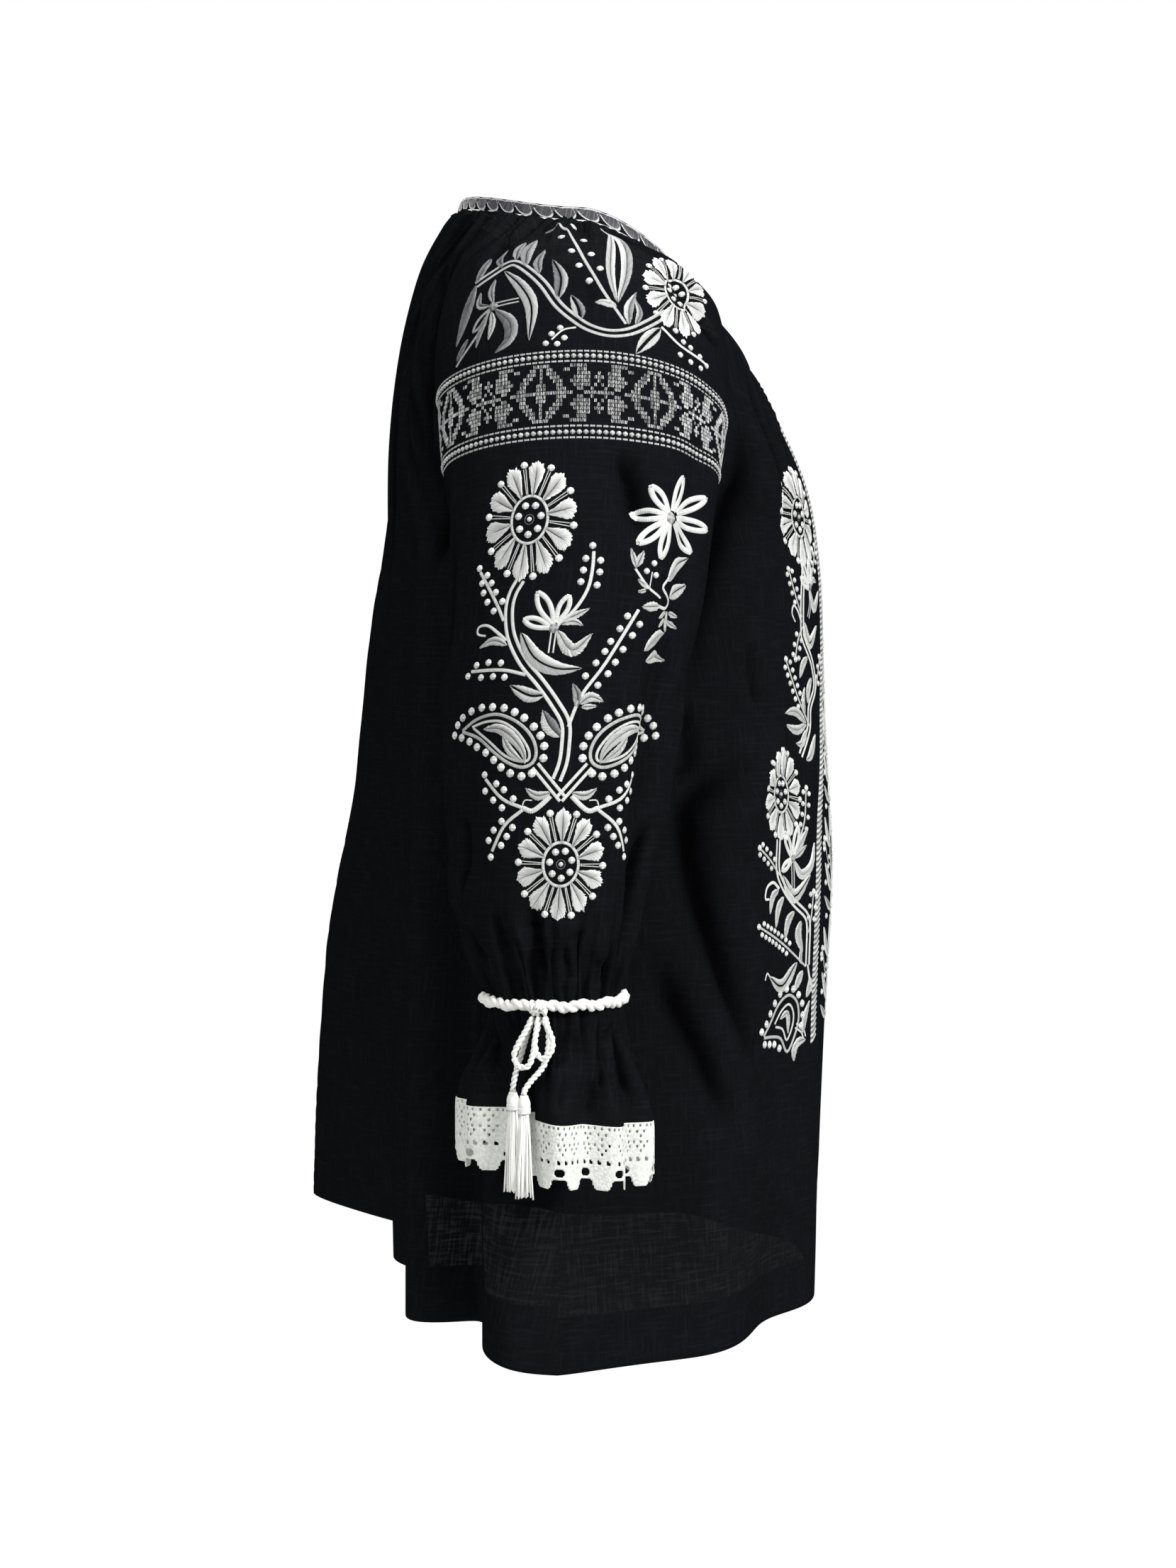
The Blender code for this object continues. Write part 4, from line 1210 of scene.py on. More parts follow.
def tassel_mesh(top, lean, seed):
    """A bound head and the threads that hang from it."""
    draw = random.Random(seed)
    drops = np.linspace(0.0, TASSEL_HEAD, 9)
    round_head = 0.55 + 0.45 * np.sin(math.pi * np.clip(drops / TASSEL_HEAD, 0.05, 0.8))
    head = np.stack([0 * drops, 0 * drops, -drops], axis=1)
    parts = [tube(top + head, TASSEL_HEAD_RADIUS * round_head, 12)]
    for step in range(TIE_TURNS):
        turns = np.linspace(0, 2 * math.pi, 14)
        tie = np.stack([np.cos(turns), np.sin(turns), 0 * turns], axis=1) * TIE_RADIUS
        tie[:, 2] -= TIE_DROP + TIE_STEP * step
        parts.append(tube(top + tie, TIE_THREAD, 5))
    length = TASSEL_LENGTH - TASSEL_HEAD
    for number in range(sizes().tassel_threads):
        angle = 2.4 * number
        reach = math.sqrt((number + 0.5) / sizes().tassel_threads)
        low = length * draw.uniform(0.86, 1.0)
        share = np.linspace(0.0, 1.0, 6)
        spread = reach * (0.0026 + 0.0034 * share ** 0.7)
        sway = draw.uniform(-1, 1) * 0.0012 * np.sin(2.5 * share + number)
        x = spread * math.cos(angle) + lean * share + sway
        y = spread * math.sin(angle) + draw.uniform(-1, 1) * 0.0014 * share ** 2
        line = np.stack([x, y, -TASSEL_HEAD - low * share], axis=1)
        parts.append(tube(top + line, TASSEL_THREAD * (1 - 0.25 * share), 4))
    return joined(parts)


class BLOUSE_OT_bows(bpy.types.Operator):
    """Makes the bow loops, the cord ends and their tassels."""

    bl_idname = "blouse.bows"
    bl_label = "Bows and tassels"

    def execute(self, context):
        for tag, side in SIDES:
            for name, offsets in LOOPS.items():
                route = placed(offsets, side)
                piece = self.cord_piece(name, tag, route)
            for number, (name, offsets) in enumerate(ENDS.items()):
                route = placed(offsets, side)
                piece = self.cord_piece(name, tag, route)
                top = route[-1] - np.array([0, 0, SEAM_GAP])
                cad_tassel = name.replace("end", "tassel") + "_" + tag
                lean = side * TASSEL_LEAN[name]
                tassel = add_piece(
                    "thread_" + cad_tassel, *tassel_mesh(top, lean, 5 + number), cord_material(),
                )
                stands_for(tassel, "cord", cad_tassel)
        return {"FINISHED"}

    def cord_piece(self, name, tag, route):
        """A twisted cord along a route, in place of its plain one."""
        mesh = twisted(route, STRAND_SPREAD * CORD, sizes().cord_twist)
        piece = add_piece(f"{name}_cord_{tag}", *mesh, cord_material())
        return stands_for(piece, "cord", f"{name}_{tag}")


def smooth(keys, step=0.52):
    """A smooth, evenly spaced line through key places; the step is half a thread."""
    return spaced(cord_route([np.array(key, float) for key in keys]), step)


def beside(line, offset):
    """A line shifted to its right-hand side, as seen with down at the bottom."""
    way = unit(np.gradient(line, axis=0))
    turned = np.stack([-way[:, 1], way[:, 0]], axis=1)
    return line + turned * np.broadcast_to(np.asarray(offset, float), len(line))[:, None]


def at_shares(line, shares):
    """Places on a line, by share of its length."""
    steps = np.linspace(0.0, 1.0, len(line))
    return np.stack([np.interp(shares, steps, line[:, k]) for k in (0, 1)], axis=1)


# How wide half a daisy's petal is, by share of its length, in parts of the daisy's size
PETAL_OUTLINE = ((0, 0.17, 0.35, 0.54, 0.72, 0.87, 1), (0.05, 0.08, 0.125, 0.165, 0.175, 0.13, 0))
# Above 1 it darkens the shaded threads
TONE_CURVE = 1.35


class Needle:
    """Collects stitches for one flat cloth, in millimetres across and down."""

    def __init__(self, seed):
        self.draw = np.random.default_rng(seed)
        self.places, self.faces, self.tones = [], [], []
        self.count = 0

    def patch(self, grid, lift, tone):
        """A grid of places with how far each stands off the cloth and how white it is, painted
        shade included.
        """
        self.faces.append(grid_faces(*grid.shape[:2], self.count))
        self.places.append(np.concatenate([grid, lift[..., None]], axis=2).reshape(-1, 3))
        self.tones.append(np.clip(tone, 0, 1).ravel() ** TONE_CURVE)
        self.count += lift.size

    def satin(self, left, right, height=0.8, tone=1.0, far_tone=None, ragged=0.0,
              groove_shade=0.4):
        """Threads side by side from one rail to the other, each a small ridge."""
        wide = np.linalg.norm(right - left, axis=1)
        shares, dome = np.array([0, 0.5, 1]), np.array([0, 1.0, 0])
        if wide.max() > 3:
            shares, dome = np.array([0, 0.2, 0.8, 1]), np.array([0, 1.0, 1.0, 0])
        crest = np.arange(len(left)) % 2 == 0
        reach = np.where(crest, 0.3, -0.15)
        near = (reach / np.maximum(wide, 0.6))[:, None]
        far = reach + ragged * crest * self.draw.uniform(-1.0, 0.6, len(left))
        far = (far / np.maximum(wide, 0.6))[:, None]
        spread = shares * (1 + near + far) - near
        grid = left[:, None] + (right - left)[:, None] * spread[..., None]
        lift = height * dome * np.where(crest, 1.0, 0.6)[:, None] - 0.1
        far_tone = tone if far_tone is None else far_tone
        # Crests vary in tone at random; the groove rows between threads get painted shade
        uneven = np.where(crest, self.draw.uniform(-0.1, 0.1, len(left)), -groove_shade)
        self.patch(grid, lift, tone + (far_tone - tone) * shares + uneven[:, None])

    def stem(self, keys, width=2.4, tone=0.95, taper=0.0):
        """One line of satin stitch, narrower towards its end by the taper."""
        line = smooth(keys)
        half = width / 2 * (1 - taper * np.linspace(0, 1, len(line)))
        self.satin(beside(line, half), beside(line, -half), min(0.8, 0.35 * width), tone)

    def double(self, keys, gap=5.0, width=2.5, tone=0.95):
        """Two lines of satin stitch side by side."""
        line = smooth(keys)
        for offset in (-gap / 2, gap / 2):
            self.stem(beside(line, offset)[::4], width, tone)

    def leaf(self, keys, width, slit=0.5, tone=0.9, other_tone=0.9):
        """A leaf about its middle line, threads slanting forward from the vein."""
        line = smooth(keys)
        shares = np.linspace(0, 1, len(line))
        half = width / 2 * np.sin(math.pi * shares ** 0.85) ** 0.8
        ahead = shares + 0.12 * np.sin(math.pi * shares)
        for side, colour in ((1, tone), (-1, other_tone)):
            edge = at_shares(beside(line, side * half), ahead)
            vein = beside(line, side * np.minimum(slit / 2, half * 0.5))
            # Each half's threads are painted greyer towards the vein, as shade
            self.satin(vein, edge, 0.9, colour - 0.25, colour, 0.6)

    def loop(self, base, tip, width, rim=3.3, tone=0.95):
        """A petal or leaf as an outline of satin stitch round a bare slit."""
        base, tip = np.array(base, float), np.array(tip, float)
        shares = np.linspace(0.0, 1.0, 12)
        half = (width - rim) / 2 * np.sin(math.pi * (0.04 + 0.96 * shares) ** 1.35) ** 0.7
        line = base + (tip - base) * shares[:, None]
        keys = np.concatenate([beside(line, half), beside(line, -half)[-2::-1]])
        self.stem(keys, rim, tone)

    def rope(self, keys, width=7.2):
        """A thick line of slanting bars of satin stitch, like a laid rope.

        The real bars lie 2 mm apart; they are drawn coarser, so that they show.
        """
        line = smooth(keys, 2.1)
        left, right = beside(line, width / 2)[3:], beside(line, -width / 2)[:-3]
        self.satin(left, right, 1.8, 0.8, groove_shade=0.9)

    def sprig(self, keys, pairs, width=1.9):
        """A thin stem with pairs of dots on both sides and one at its tip."""
        self.stem(keys, width, 0.8)
        line = smooth(keys)
        shares = np.linspace(0.36, 0.92, pairs)
        for offset in (-4.2, 4.2):
            self.dots(at_shares(beside(line, offset), shares), 2.1)
        self.dots([line[-1]], 2.4)

    def dots(self, centres, radius=2.5, tone=0.92):
        """Small padded dots."""
        turns = np.linspace(0, 2 * math.pi, 9)
        ring = np.stack([np.cos(turns), np.sin(turns)], axis=1)
        reach = np.array([0.0, 0.55, 0.88, 1.02])[:, None, None] * radius
        lift = np.array([1.25, 1.1, 0.6, -0.1])[:, None] * np.ones(9)
        for centre in centres:
            # Every other spoke is painted darker, as shade in the grooves between threads
            groove_shade_mask = (np.arange(9) % 2) * [[0], [1], [1], [1]]
            shade = tone + self.draw.uniform(-0.1, 0.05) - 0.35 * groove_shade_mask
            self.patch(np.array(centre, float) + ring * reach, lift, shade)

    def ring(self, centre, across, down, width, tone):
        """An oval line of satin stitch."""
        turns = np.linspace(0, 2 * math.pi, 33)
        keys = np.array(centre) + np.stack([across * np.cos(turns), down * np.sin(turns)], axis=1)
        self.stem(keys, width, tone)

    def daisy(self, centre, across, down, turn=0.0):
        """Ten feathery petals and ten stamens round a dark oval centre with eight dots."""
        centre, size = np.array(centre, float), np.array([across, down])
        for number in range(10):
            for half_step, kind in ((0.0, "petal"), (math.pi / 10, "stamen")):
                angle = math.radians(turn) + math.pi / 5 * number + half_step
                ahead = np.array([math.sin(angle), -math.cos(angle)])
                aside = np.array([-ahead[1], ahead[0]])
                if kind == "stamen":
                    for shift in (-0.03, 0.03):
                        ends = [(ahead * r + aside * shift * r) * size for r in (0.42, 0.65, 0.86)]
                        self.stem(centre + ends, 0.8, 0.85)
                    self.dots([centre + ahead * 0.93 * size], 0.082 * across, 0.95)
                    continue
                share = np.linspace(0, 1, round(0.55 * (across + down) / 2 / 0.5))
                wide = np.interp(share, *PETAL_OUTLINE)[:, None]
                vein = ahead * (0.36 + 0.44 * share[:, None])
                for side in (-1, 1):
                    edge = ahead * (0.46 + 0.54 * share[:, None]) + aside * side * wide
                    # Petal threads are painted greyer towards the vein, as shade
                    self.satin(
                        centre + (vein + aside * side * 0.004) * size, centre + edge * size,
                        1.0, 0.7, 1.08, 1.6,
                    )
        self.ring(centre, 0.385 * across, 0.385 * down, 2.0, 0.9)
        for number in range(7):
            angle = math.radians(turn + 20) + 2 * math.pi / 7 * number
            away = np.array([math.sin(angle), -math.cos(angle)]) * 0.245
            self.dots([centre + away * size], 0.08 * across, 0.9)
        self.dots([centre], 0.055 * across, 0.85)
        self.ring(centre, 0.095 * across, 0.08 * down, 0.6, 0.35)

    def star(self, centre, tips, width=10.5):
        """Outlined petals round a rough centre."""
        for tip in tips:
            self.loop(np.array(centre) * 0.85 + np.array(tip) * 0.15, tip, width, 4.0)
        self.dots([centre], 4.6, 0.6)

    def paisley(self, outer, inner, rim):
        """A teardrop of two lines with a row of dots round it."""
        self.stem(outer, 2.3, 0.75)
        self.stem(inner, 1.9, 0.9)
        self.dots(rim, 2.9)

    def sew(self, motifs, place=None):
        """Sews motifs from a table; a function may move, scale or turn over their places."""
        for kind, *settings in motifs:
            if place:
                settings = [moved(value, place) for value in settings]
            getattr(self, kind)(*settings)

    def make(self, name, chart, edge=1.5):
        """The stitches as one piece on a cloth; what runs off its edges is left out."""
        places = np.concatenate(self.places) * MM
        across, down = places[:, 0], places[:, 1]
        sides = [np.interp(down, chart.down, chart.across[:, k]) for k in (0, -1)]
        inside = (across > sides[0] + edge * MM) & (across < sides[1] - edge * MM)
        inside &= (down > edge * MM) & (down < chart.down[-1] - edge * MM)
        faces = np.concatenate(self.faces)
        faces = faces[inside[faces].all(axis=1)]
        points = chart.place(across, down, places[:, 2])
        used = np.unique(faces)
        number = np.zeros(len(points), int)
        number[used] = np.arange(len(used))
        piece = add_piece(
            name, points[used], number[faces], thread_material(),
            {"tone": np.concatenate(self.tones)[used]},
        )
        return piece


def moved(value, place):
    """A setting with its places sent through a function; other settings stay as they are."""
    if isinstance(value, tuple) and isinstance(value[0], tuple):
        return tuple(moved(item, place) for item in value)
    return place(*value) if isinstance(value, tuple) else value


@functools.lru_cache(maxsize=None)
def thread_material():
    """Glossy rayon thread in satin stitch: white with a soft shine; its tone greys it at random and
    with painted shade in grooves, at veins and at stitch edges.
    """
    made, tree, shader = new_material("White rayon embroidery thread")
    # tone: the thread's random tone together with the shade painted into it
    tone = node(tree, "ShaderNodeAttribute", attribute_name="tone").outputs["Fac"]
    colour = blend(tree, tone, colours().grey_thread, colours().white_thread)
    dress(tree, shader, colour, 0.5, 0.3)
    return made


# The left half and upper part of one repeat of the cross stitch band: a hooked rose, then
# half a stepped diamond. The rest is the same turned over.
CROSS_CHART = (
    "....#####......###",
    "....###..##...##.#",
    "#..####......###.#",
    "##.#####....###..#",
    "#..######..###...#",
    ".#.#####...##...##",
    "..#..##...###...##",
    "#####...##########",
)
CROSS_WIDTH, CROSS_HEIGHT = 2.35, 3.16
CROSS_TOP, CROSS_START = 192.9, 12.0
CROSS_REACH = 190.0
BORDER_ROWS = (("dash", 180.5), ("dot", 184.7), ("dash", 189.0),
               ("dash", 241.4), ("dot", 246.2), ("dash", 250.5))


def sew_cross_band(needle):
    """The cross stitch band with its rows of dashes and dots."""
    rows = CROSS_CHART + CROSS_CHART[-2::-1]
    repeat = [row + row[-2:0:-1] for row in rows]
    width = len(repeat[0])
    count = int(CROSS_REACH / CROSS_WIDTH)
    for level, row in enumerate(repeat):
        for step in range(-count, count):
            if row[step % width] != "#":
                continue
            u, v = CROSS_START + step * CROSS_WIDTH, CROSS_TOP + level * CROSS_HEIGHT
            for shift in (-0.52, 0.52):
                lean = needle.draw.uniform(-0.25, 0.25)
                ends = np.array([(u + shift - lean, v - 1.3), (u + shift + lean, v + 1.3)])
                grid = np.stack([beside(ends, 0.34), ends, beside(ends, -0.34)], axis=1)
                lift = np.array([[0.0, 0.6, 0.0]] * 2) + 0.05
                shade = needle.draw.uniform(0.3, 0.9)
                # Each stitch has a random tone, with painted shade along its two low edges
                needle.patch(grid, lift, shade - 0.3 * np.array([[1, 0, 1]] * 2))
    for kind, v in BORDER_ROWS:
        steps = np.arange(-CROSS_REACH, CROSS_REACH, 4.5)
        if kind == "dot":
            needle.dots([(u, v) for u in steps], 1.85, 0.75)
            continue
        for u in steps:
            needle.stem(((u - 1.7, v), (u + 1.7, v)), 1.5, 0.7)


# Sleeve embroidery in millimetres: across towards the front, then down from the neckband
YOKE_MOTIFS = (
    ("double", ((-84, 106), (-71, 99), (-59, 92), (-51, 91), (-40, 102), (-28, 118), (-17, 138),
                (-6, 151), (5, 160), (19, 164), (34, 160), (49, 148), (63, 133)), 5, 2.5, 0.75),
    ("leaf", ((-84, 105), (-79, 90), (-75, 76)), 7, 0.5, 0.42, 0.51),
    ("leaf", ((-84, 107), (-89, 124), (-96, 146), (-101, 158)), 10.1, 0.5, 0.42, 0.51),
    ("leaf", ((-62, 94), (-66, 80), (-60, 68)), 7, 0.5, 0.34, 0.42),
    ("leaf", ((-51, 87), (-50, 74), (-44, 63)), 7, 0.5, 0.42, 0.68),
    ("leaf", ((-43, 96), (-43, 78), (-36, 59)), 9.4, 0.5, 0.59, 0.59),
    ("leaf", ((-32, 106), (-34, 92), (-29, 79)), 7, 0.3, 0.51, 0.59),
    ("leaf", ((-17, 133), (-16, 112), (-23, 92)), 10.1, 1.4, 0.68, 0.42),
    ("leaf", ((-1, 153), (-3, 141), (-8, 130)), 9.4, 2.2, 0.51, 0.81),
    ("leaf", ((-59, 99), (-45, 117), (-36, 138), (-37, 169)), 10.9, 1.3, 0.77, 0.81),
    ("dots", ((-66, 132),), 4.0, 0.45),
    ("leaf", ((-66, 129), (-69, 118), (-66, 106)), 5.5, 0.3, 0.51, 0.68),
    ("leaf", ((-69, 131), (-79, 128), (-78, 116)), 5.5, 0.3, 0.42, 0.77),
    ("loop", (-69, 134), (-83, 151), 8, 2.4, 0.6),
    ("leaf", ((-67, 137), (-66, 148), (-69, 162)), 5.5, 0.3, 0.77, 0.77),
    ("leaf", ((-70, 138), (-76, 152), (-80, 166)), 4.7, 0.3, 0.51, 0.59),
    ("leaf", ((-64, 136), (-52, 150), (-52, 165), (-63, 175)), 10.9, 0.2, 0.38, 0.64),
    ("double", ((-64, 131), (-45, 130)), 3.4, 1.4, 0.7),
    ("stem", ((-72, 147), (-86, 162), (-101, 175)), 2.2, 0.7),
    ("leaf", ((-100, 171), (-94, 163), (-88, 156)), 4.7, 0.3, 0.42, 0.59),
    ("stem", ((-4, 160), (-13, 162), (-21, 170)), 1.5),
    ("dots", ((-15, 160), (-21, 165), (-12, 169), (-17, 174), (-25, 173)), 2.4),
    ("leaf", ((-17, 27), (-22, 32), (-30, 41)), 3.9, 0.3, 0.34, 0.42),
    ("stem", ((-17, 27), (-11, 52), (-2, 88), (11, 118), (21, 137), (31, 154)), 2.4, 0.75),
    ("dots", ((-7, 29), (-17, 60), (-1, 60), (-10, 81), (4, 85), (-4, 99), (11, 102), (4, 115)),
     2.7),
    ("leaf", ((24, 139), (16, 136), (9, 136)), 7, 0.3),
    ("leaf", ((24, 134), (18, 97), (20, 28)), 7, 0.2, 1.0, 0.8),
    ("leaf", ((25, 135), (30, 102), (27, 60), (15, 9)), 9.4, 0.2, 0.7, 0.9),
    ("leaf", ((33, 154), (33, 138), (38, 122)), 7, 0.3, 0.6, 0.9),
    ("leaf", ((38, 153), (41, 141), (37, 129)), 4.7, 0.3, 0.6, 0.8),
    ("leaf", ((57, 151), (47, 165), (38, 179)), 10.9, 2.4),
    ("stem", ((58, 149), (75, 160), (101, 163))),
    ("dots", ((77, 155), (74, 168), (84, 157), (84, 170), (94, 160), (95, 170), (102, 164)), 2.4),
    ("daisy", (73, 106), 31, 45, -12),
)
COLUMN_MOTIFS = (
    ("daisy", (-33, 309.5), 33, 43.5, 8),
    ("double", ((-36, 351), (-41, 361), (-42, 373), (-38, 390), (-27, 408), (-14, 422),
                (-2, 437), (6, 450), (7, 465), (6, 477), (2, 489))),
    ("stem", ((-45, 379), (-53, 365), (-68, 342))),
    ("dots", ((-62, 345), (-66, 350), (-58, 351), (-64, 357), (-54, 358), (-60, 364),
              (-48, 365), (-54, 371), (-69, 339))),
    ("stem", ((-8, 385), (3, 373), (10, 359), (12, 345), (12, 333))),
    ("dots", ((7, 338), (17, 339), (6, 346), (17, 347), (5, 354), (16, 356), (11, 329))),
    ("loop", (-10, 383), (-23, 361), 10.5), ("loop", (-8, 382), (-2, 364), 9.5),
    ("loop", (-12, 385), (-30, 379), 9), ("leaf", ((-4, 382), (4, 377), (13, 372)), 5, 0.2),
    ("leaf", ((-5, 383), (3, 381), (10, 384)), 5, 0.2), ("dots", ((-9.5, 385.5),), 3.6, 0.5),
    ("leaf", ((-7, 387), (5, 401), (17, 389)), 9, 0.2), ("double", ((-9, 388), (-9, 404)), 3, 1.2),
    ("leaf", ((-31, 388), (-20, 405), (-4, 413), (13, 413)), 12, 1.1, 0.8, 1.0),
    ("stem", ((-41, 393), (-47, 388), (-57, 381), (-65, 381), (-65, 386), (-58, 388)), 2.6, 1, 0.5),
    ("leaf", ((-40, 396), (-51, 392), (-62, 396)), 6, 0.3),
    ("stem", ((-24, 417), (-41, 413), (-67, 412))),
    ("dots", ((-63, 408), (-53, 407), (-43, 408), (-58, 417), (-48, 417), (-39, 418), (-70, 415))),
    ("leaf", ((-10, 431), (-20, 431), (-34, 424)), 9.5, 1.5),
    ("leaf", ((3, 459), (-5, 451), (-10, 441)), 10, 0.3, 0.4, 0.9),
    ("stem", ((8, 452), (12, 438), (17, 427), (29, 408), (46, 371))),
    ("dots", ((39, 376), (48, 381), (35, 385), (44, 389), (30, 394), (39, 399), (27, 401),
              (35, 408), (22, 409), (31, 416), (16, 418), (25, 424))),
    ("leaf", ((12, 439), (12, 431), (8, 423)), 6, 0.2, 0.5, 0.7),
    ("leaf", ((14, 437), (21, 432), (30, 435)), 7, 0.3), ("leaf", ((15, 439), (26, 438)), 4, 0.3),
    ("daisy", (7, 543), 30.5, 37.5, 2),
    ("star", (66, 304), ((78, 271), (104, 279), (107, 302), (93, 322), (59, 333), (42, 325),
                         (38, 303), (50, 283))),
    ("leaf", ((42, 343), (37, 329)), 4, 0.3), ("leaf", ((42, 342), (46, 330)), 5, 0.3),
    ("stem", ((41, 343), (51, 355), (62, 361)), 1.8), ("stem", ((52, 355), (53, 344)), 0.9),
    ("dots", ((54, 338), (49, 344), (56, 346)), 2.2),
    ("leaf", ((52, 356), (43, 350)), 4, 0.3), ("leaf", ((50, 357), (44, 359)), 3, 0.3),
    ("stem", ((70, 346), (64, 354), (77, 361), (72, 367), (60, 367)), 2.4),
    ("leaf", ((69, 348), (82, 334), (92, 327)), 11, 0.8), ("leaf", ((78, 358), (93, 346)), 10, 0.8),
    ("leaf", ((62, 367), (48, 369)), 7, 0.3),
    ("leaf", ((78, 368), (83, 382)), 5, 0.3), ("leaf", ((74, 369), (64, 375)), 4, 0.3),
    ("leaf", ((75, 374), (66, 381)), 4, 0.3), ("leaf", ((82, 368), (91, 370)), 4, 0.3),
    ("leaf", ((82, 374), (92, 378)), 4, 0.3),
    ("leaf", ((54, 399), (66, 388), (82, 383)), 9, 0.3, 0.8, 0.9),
    ("leaf", ((57, 406), (72, 401), (88, 402)), 9, 0.3, 0.9, 0.8),
)
# These lie on both sides of the sleeve's flower column, turned over about its middle
PAIR_MIDDLE = 6.0
PAIR_MOTIFS = (
    ("double", ((-12, 478), (7, 500)), 4.4, 2.2),
    ("leaf", ((-1, 496), (-10, 498), (-18, 493)), 6, 0.3),
    ("stem", ((-13, 507), (-19, 506), (-18, 501), (-13, 501)), 1.0),
    ("stem", ((-1, 498), (-7, 504), (-13, 508), (-19, 506)), 3.2),
    ("stem", ((-19, 506), (-34, 500), (-48, 487))),
    ("dots", ((-39, 490), (-48, 495), (-33, 494), (-41, 501), (-26, 500), (-34, 506), (-49, 484))),
    ("stem", ((-19, 507), (-32, 518), (-41, 535))),
    ("dots", ((-34, 515), (-26, 519), (-40, 521), (-30, 525), (-44, 528), (-34, 531), (-42, 539))),
    ("paisley",
     ((-71, 453), (-59, 446), (-44, 443), (-32, 446), (-22, 452), (-15, 460), (-12, 469),
      (-14, 476), (-21, 479), (-31, 476), (-42, 469), (-56, 459), (-71, 454)),
     ((-62, 451), (-51, 448), (-39, 448), (-29, 453), (-22, 460), (-17, 468), (-17, 474),
      (-23, 475), (-34, 471), (-46, 462), (-61, 452)),
     ((-80, 456), (-77, 449), (-72, 444), (-64, 440), (-55, 438), (-46, 438), (-37, 439),
      (-29, 442), (-22, 446), (-15, 452), (-10, 458), (-7, 465), (-7, 473), (-72, 458),
      (-64, 461), (-57, 465), (-49, 469), (-42, 474), (-36, 479), (-29, 483), (-21, 485),
      (-14, 483))),
    ("leaf", ((-52, 453), (-39, 453), (-28, 460), (-21, 469), (-19, 477)), 7.5, 0.2),
    ("leaf", ((-36, 458), (-31, 467), (-20, 476)), 5.5, 0.2),
)


class BLOUSE_OT_sleeve_embroidery(bpy.types.Operator):
    """Sews the flowers, the vine and the cross stitch band on both sleeves."""

    bl_idname = "blouse.sleeve_embroidery"
    bl_label = "Sleeve embroidery"

    def execute(self, context):
        for tag, _ in SIDES:
            chart = chart_of("sleeve_" + tag)
            flowers = Needle(7)
            flowers.sew(YOKE_MOTIFS + COLUMN_MOTIFS + PAIR_MOTIFS)
            flowers.sew(PAIR_MOTIFS, lambda u, v: (2 * PAIR_MIDDLE - u, v))
            flowers.make("embroidery_sleeve_" + tag, chart)
            band = Needle(8)
            sew_cross_band(band)
            band.make("cross_stitch_" + tag, chart)
        return {"FINISHED"}


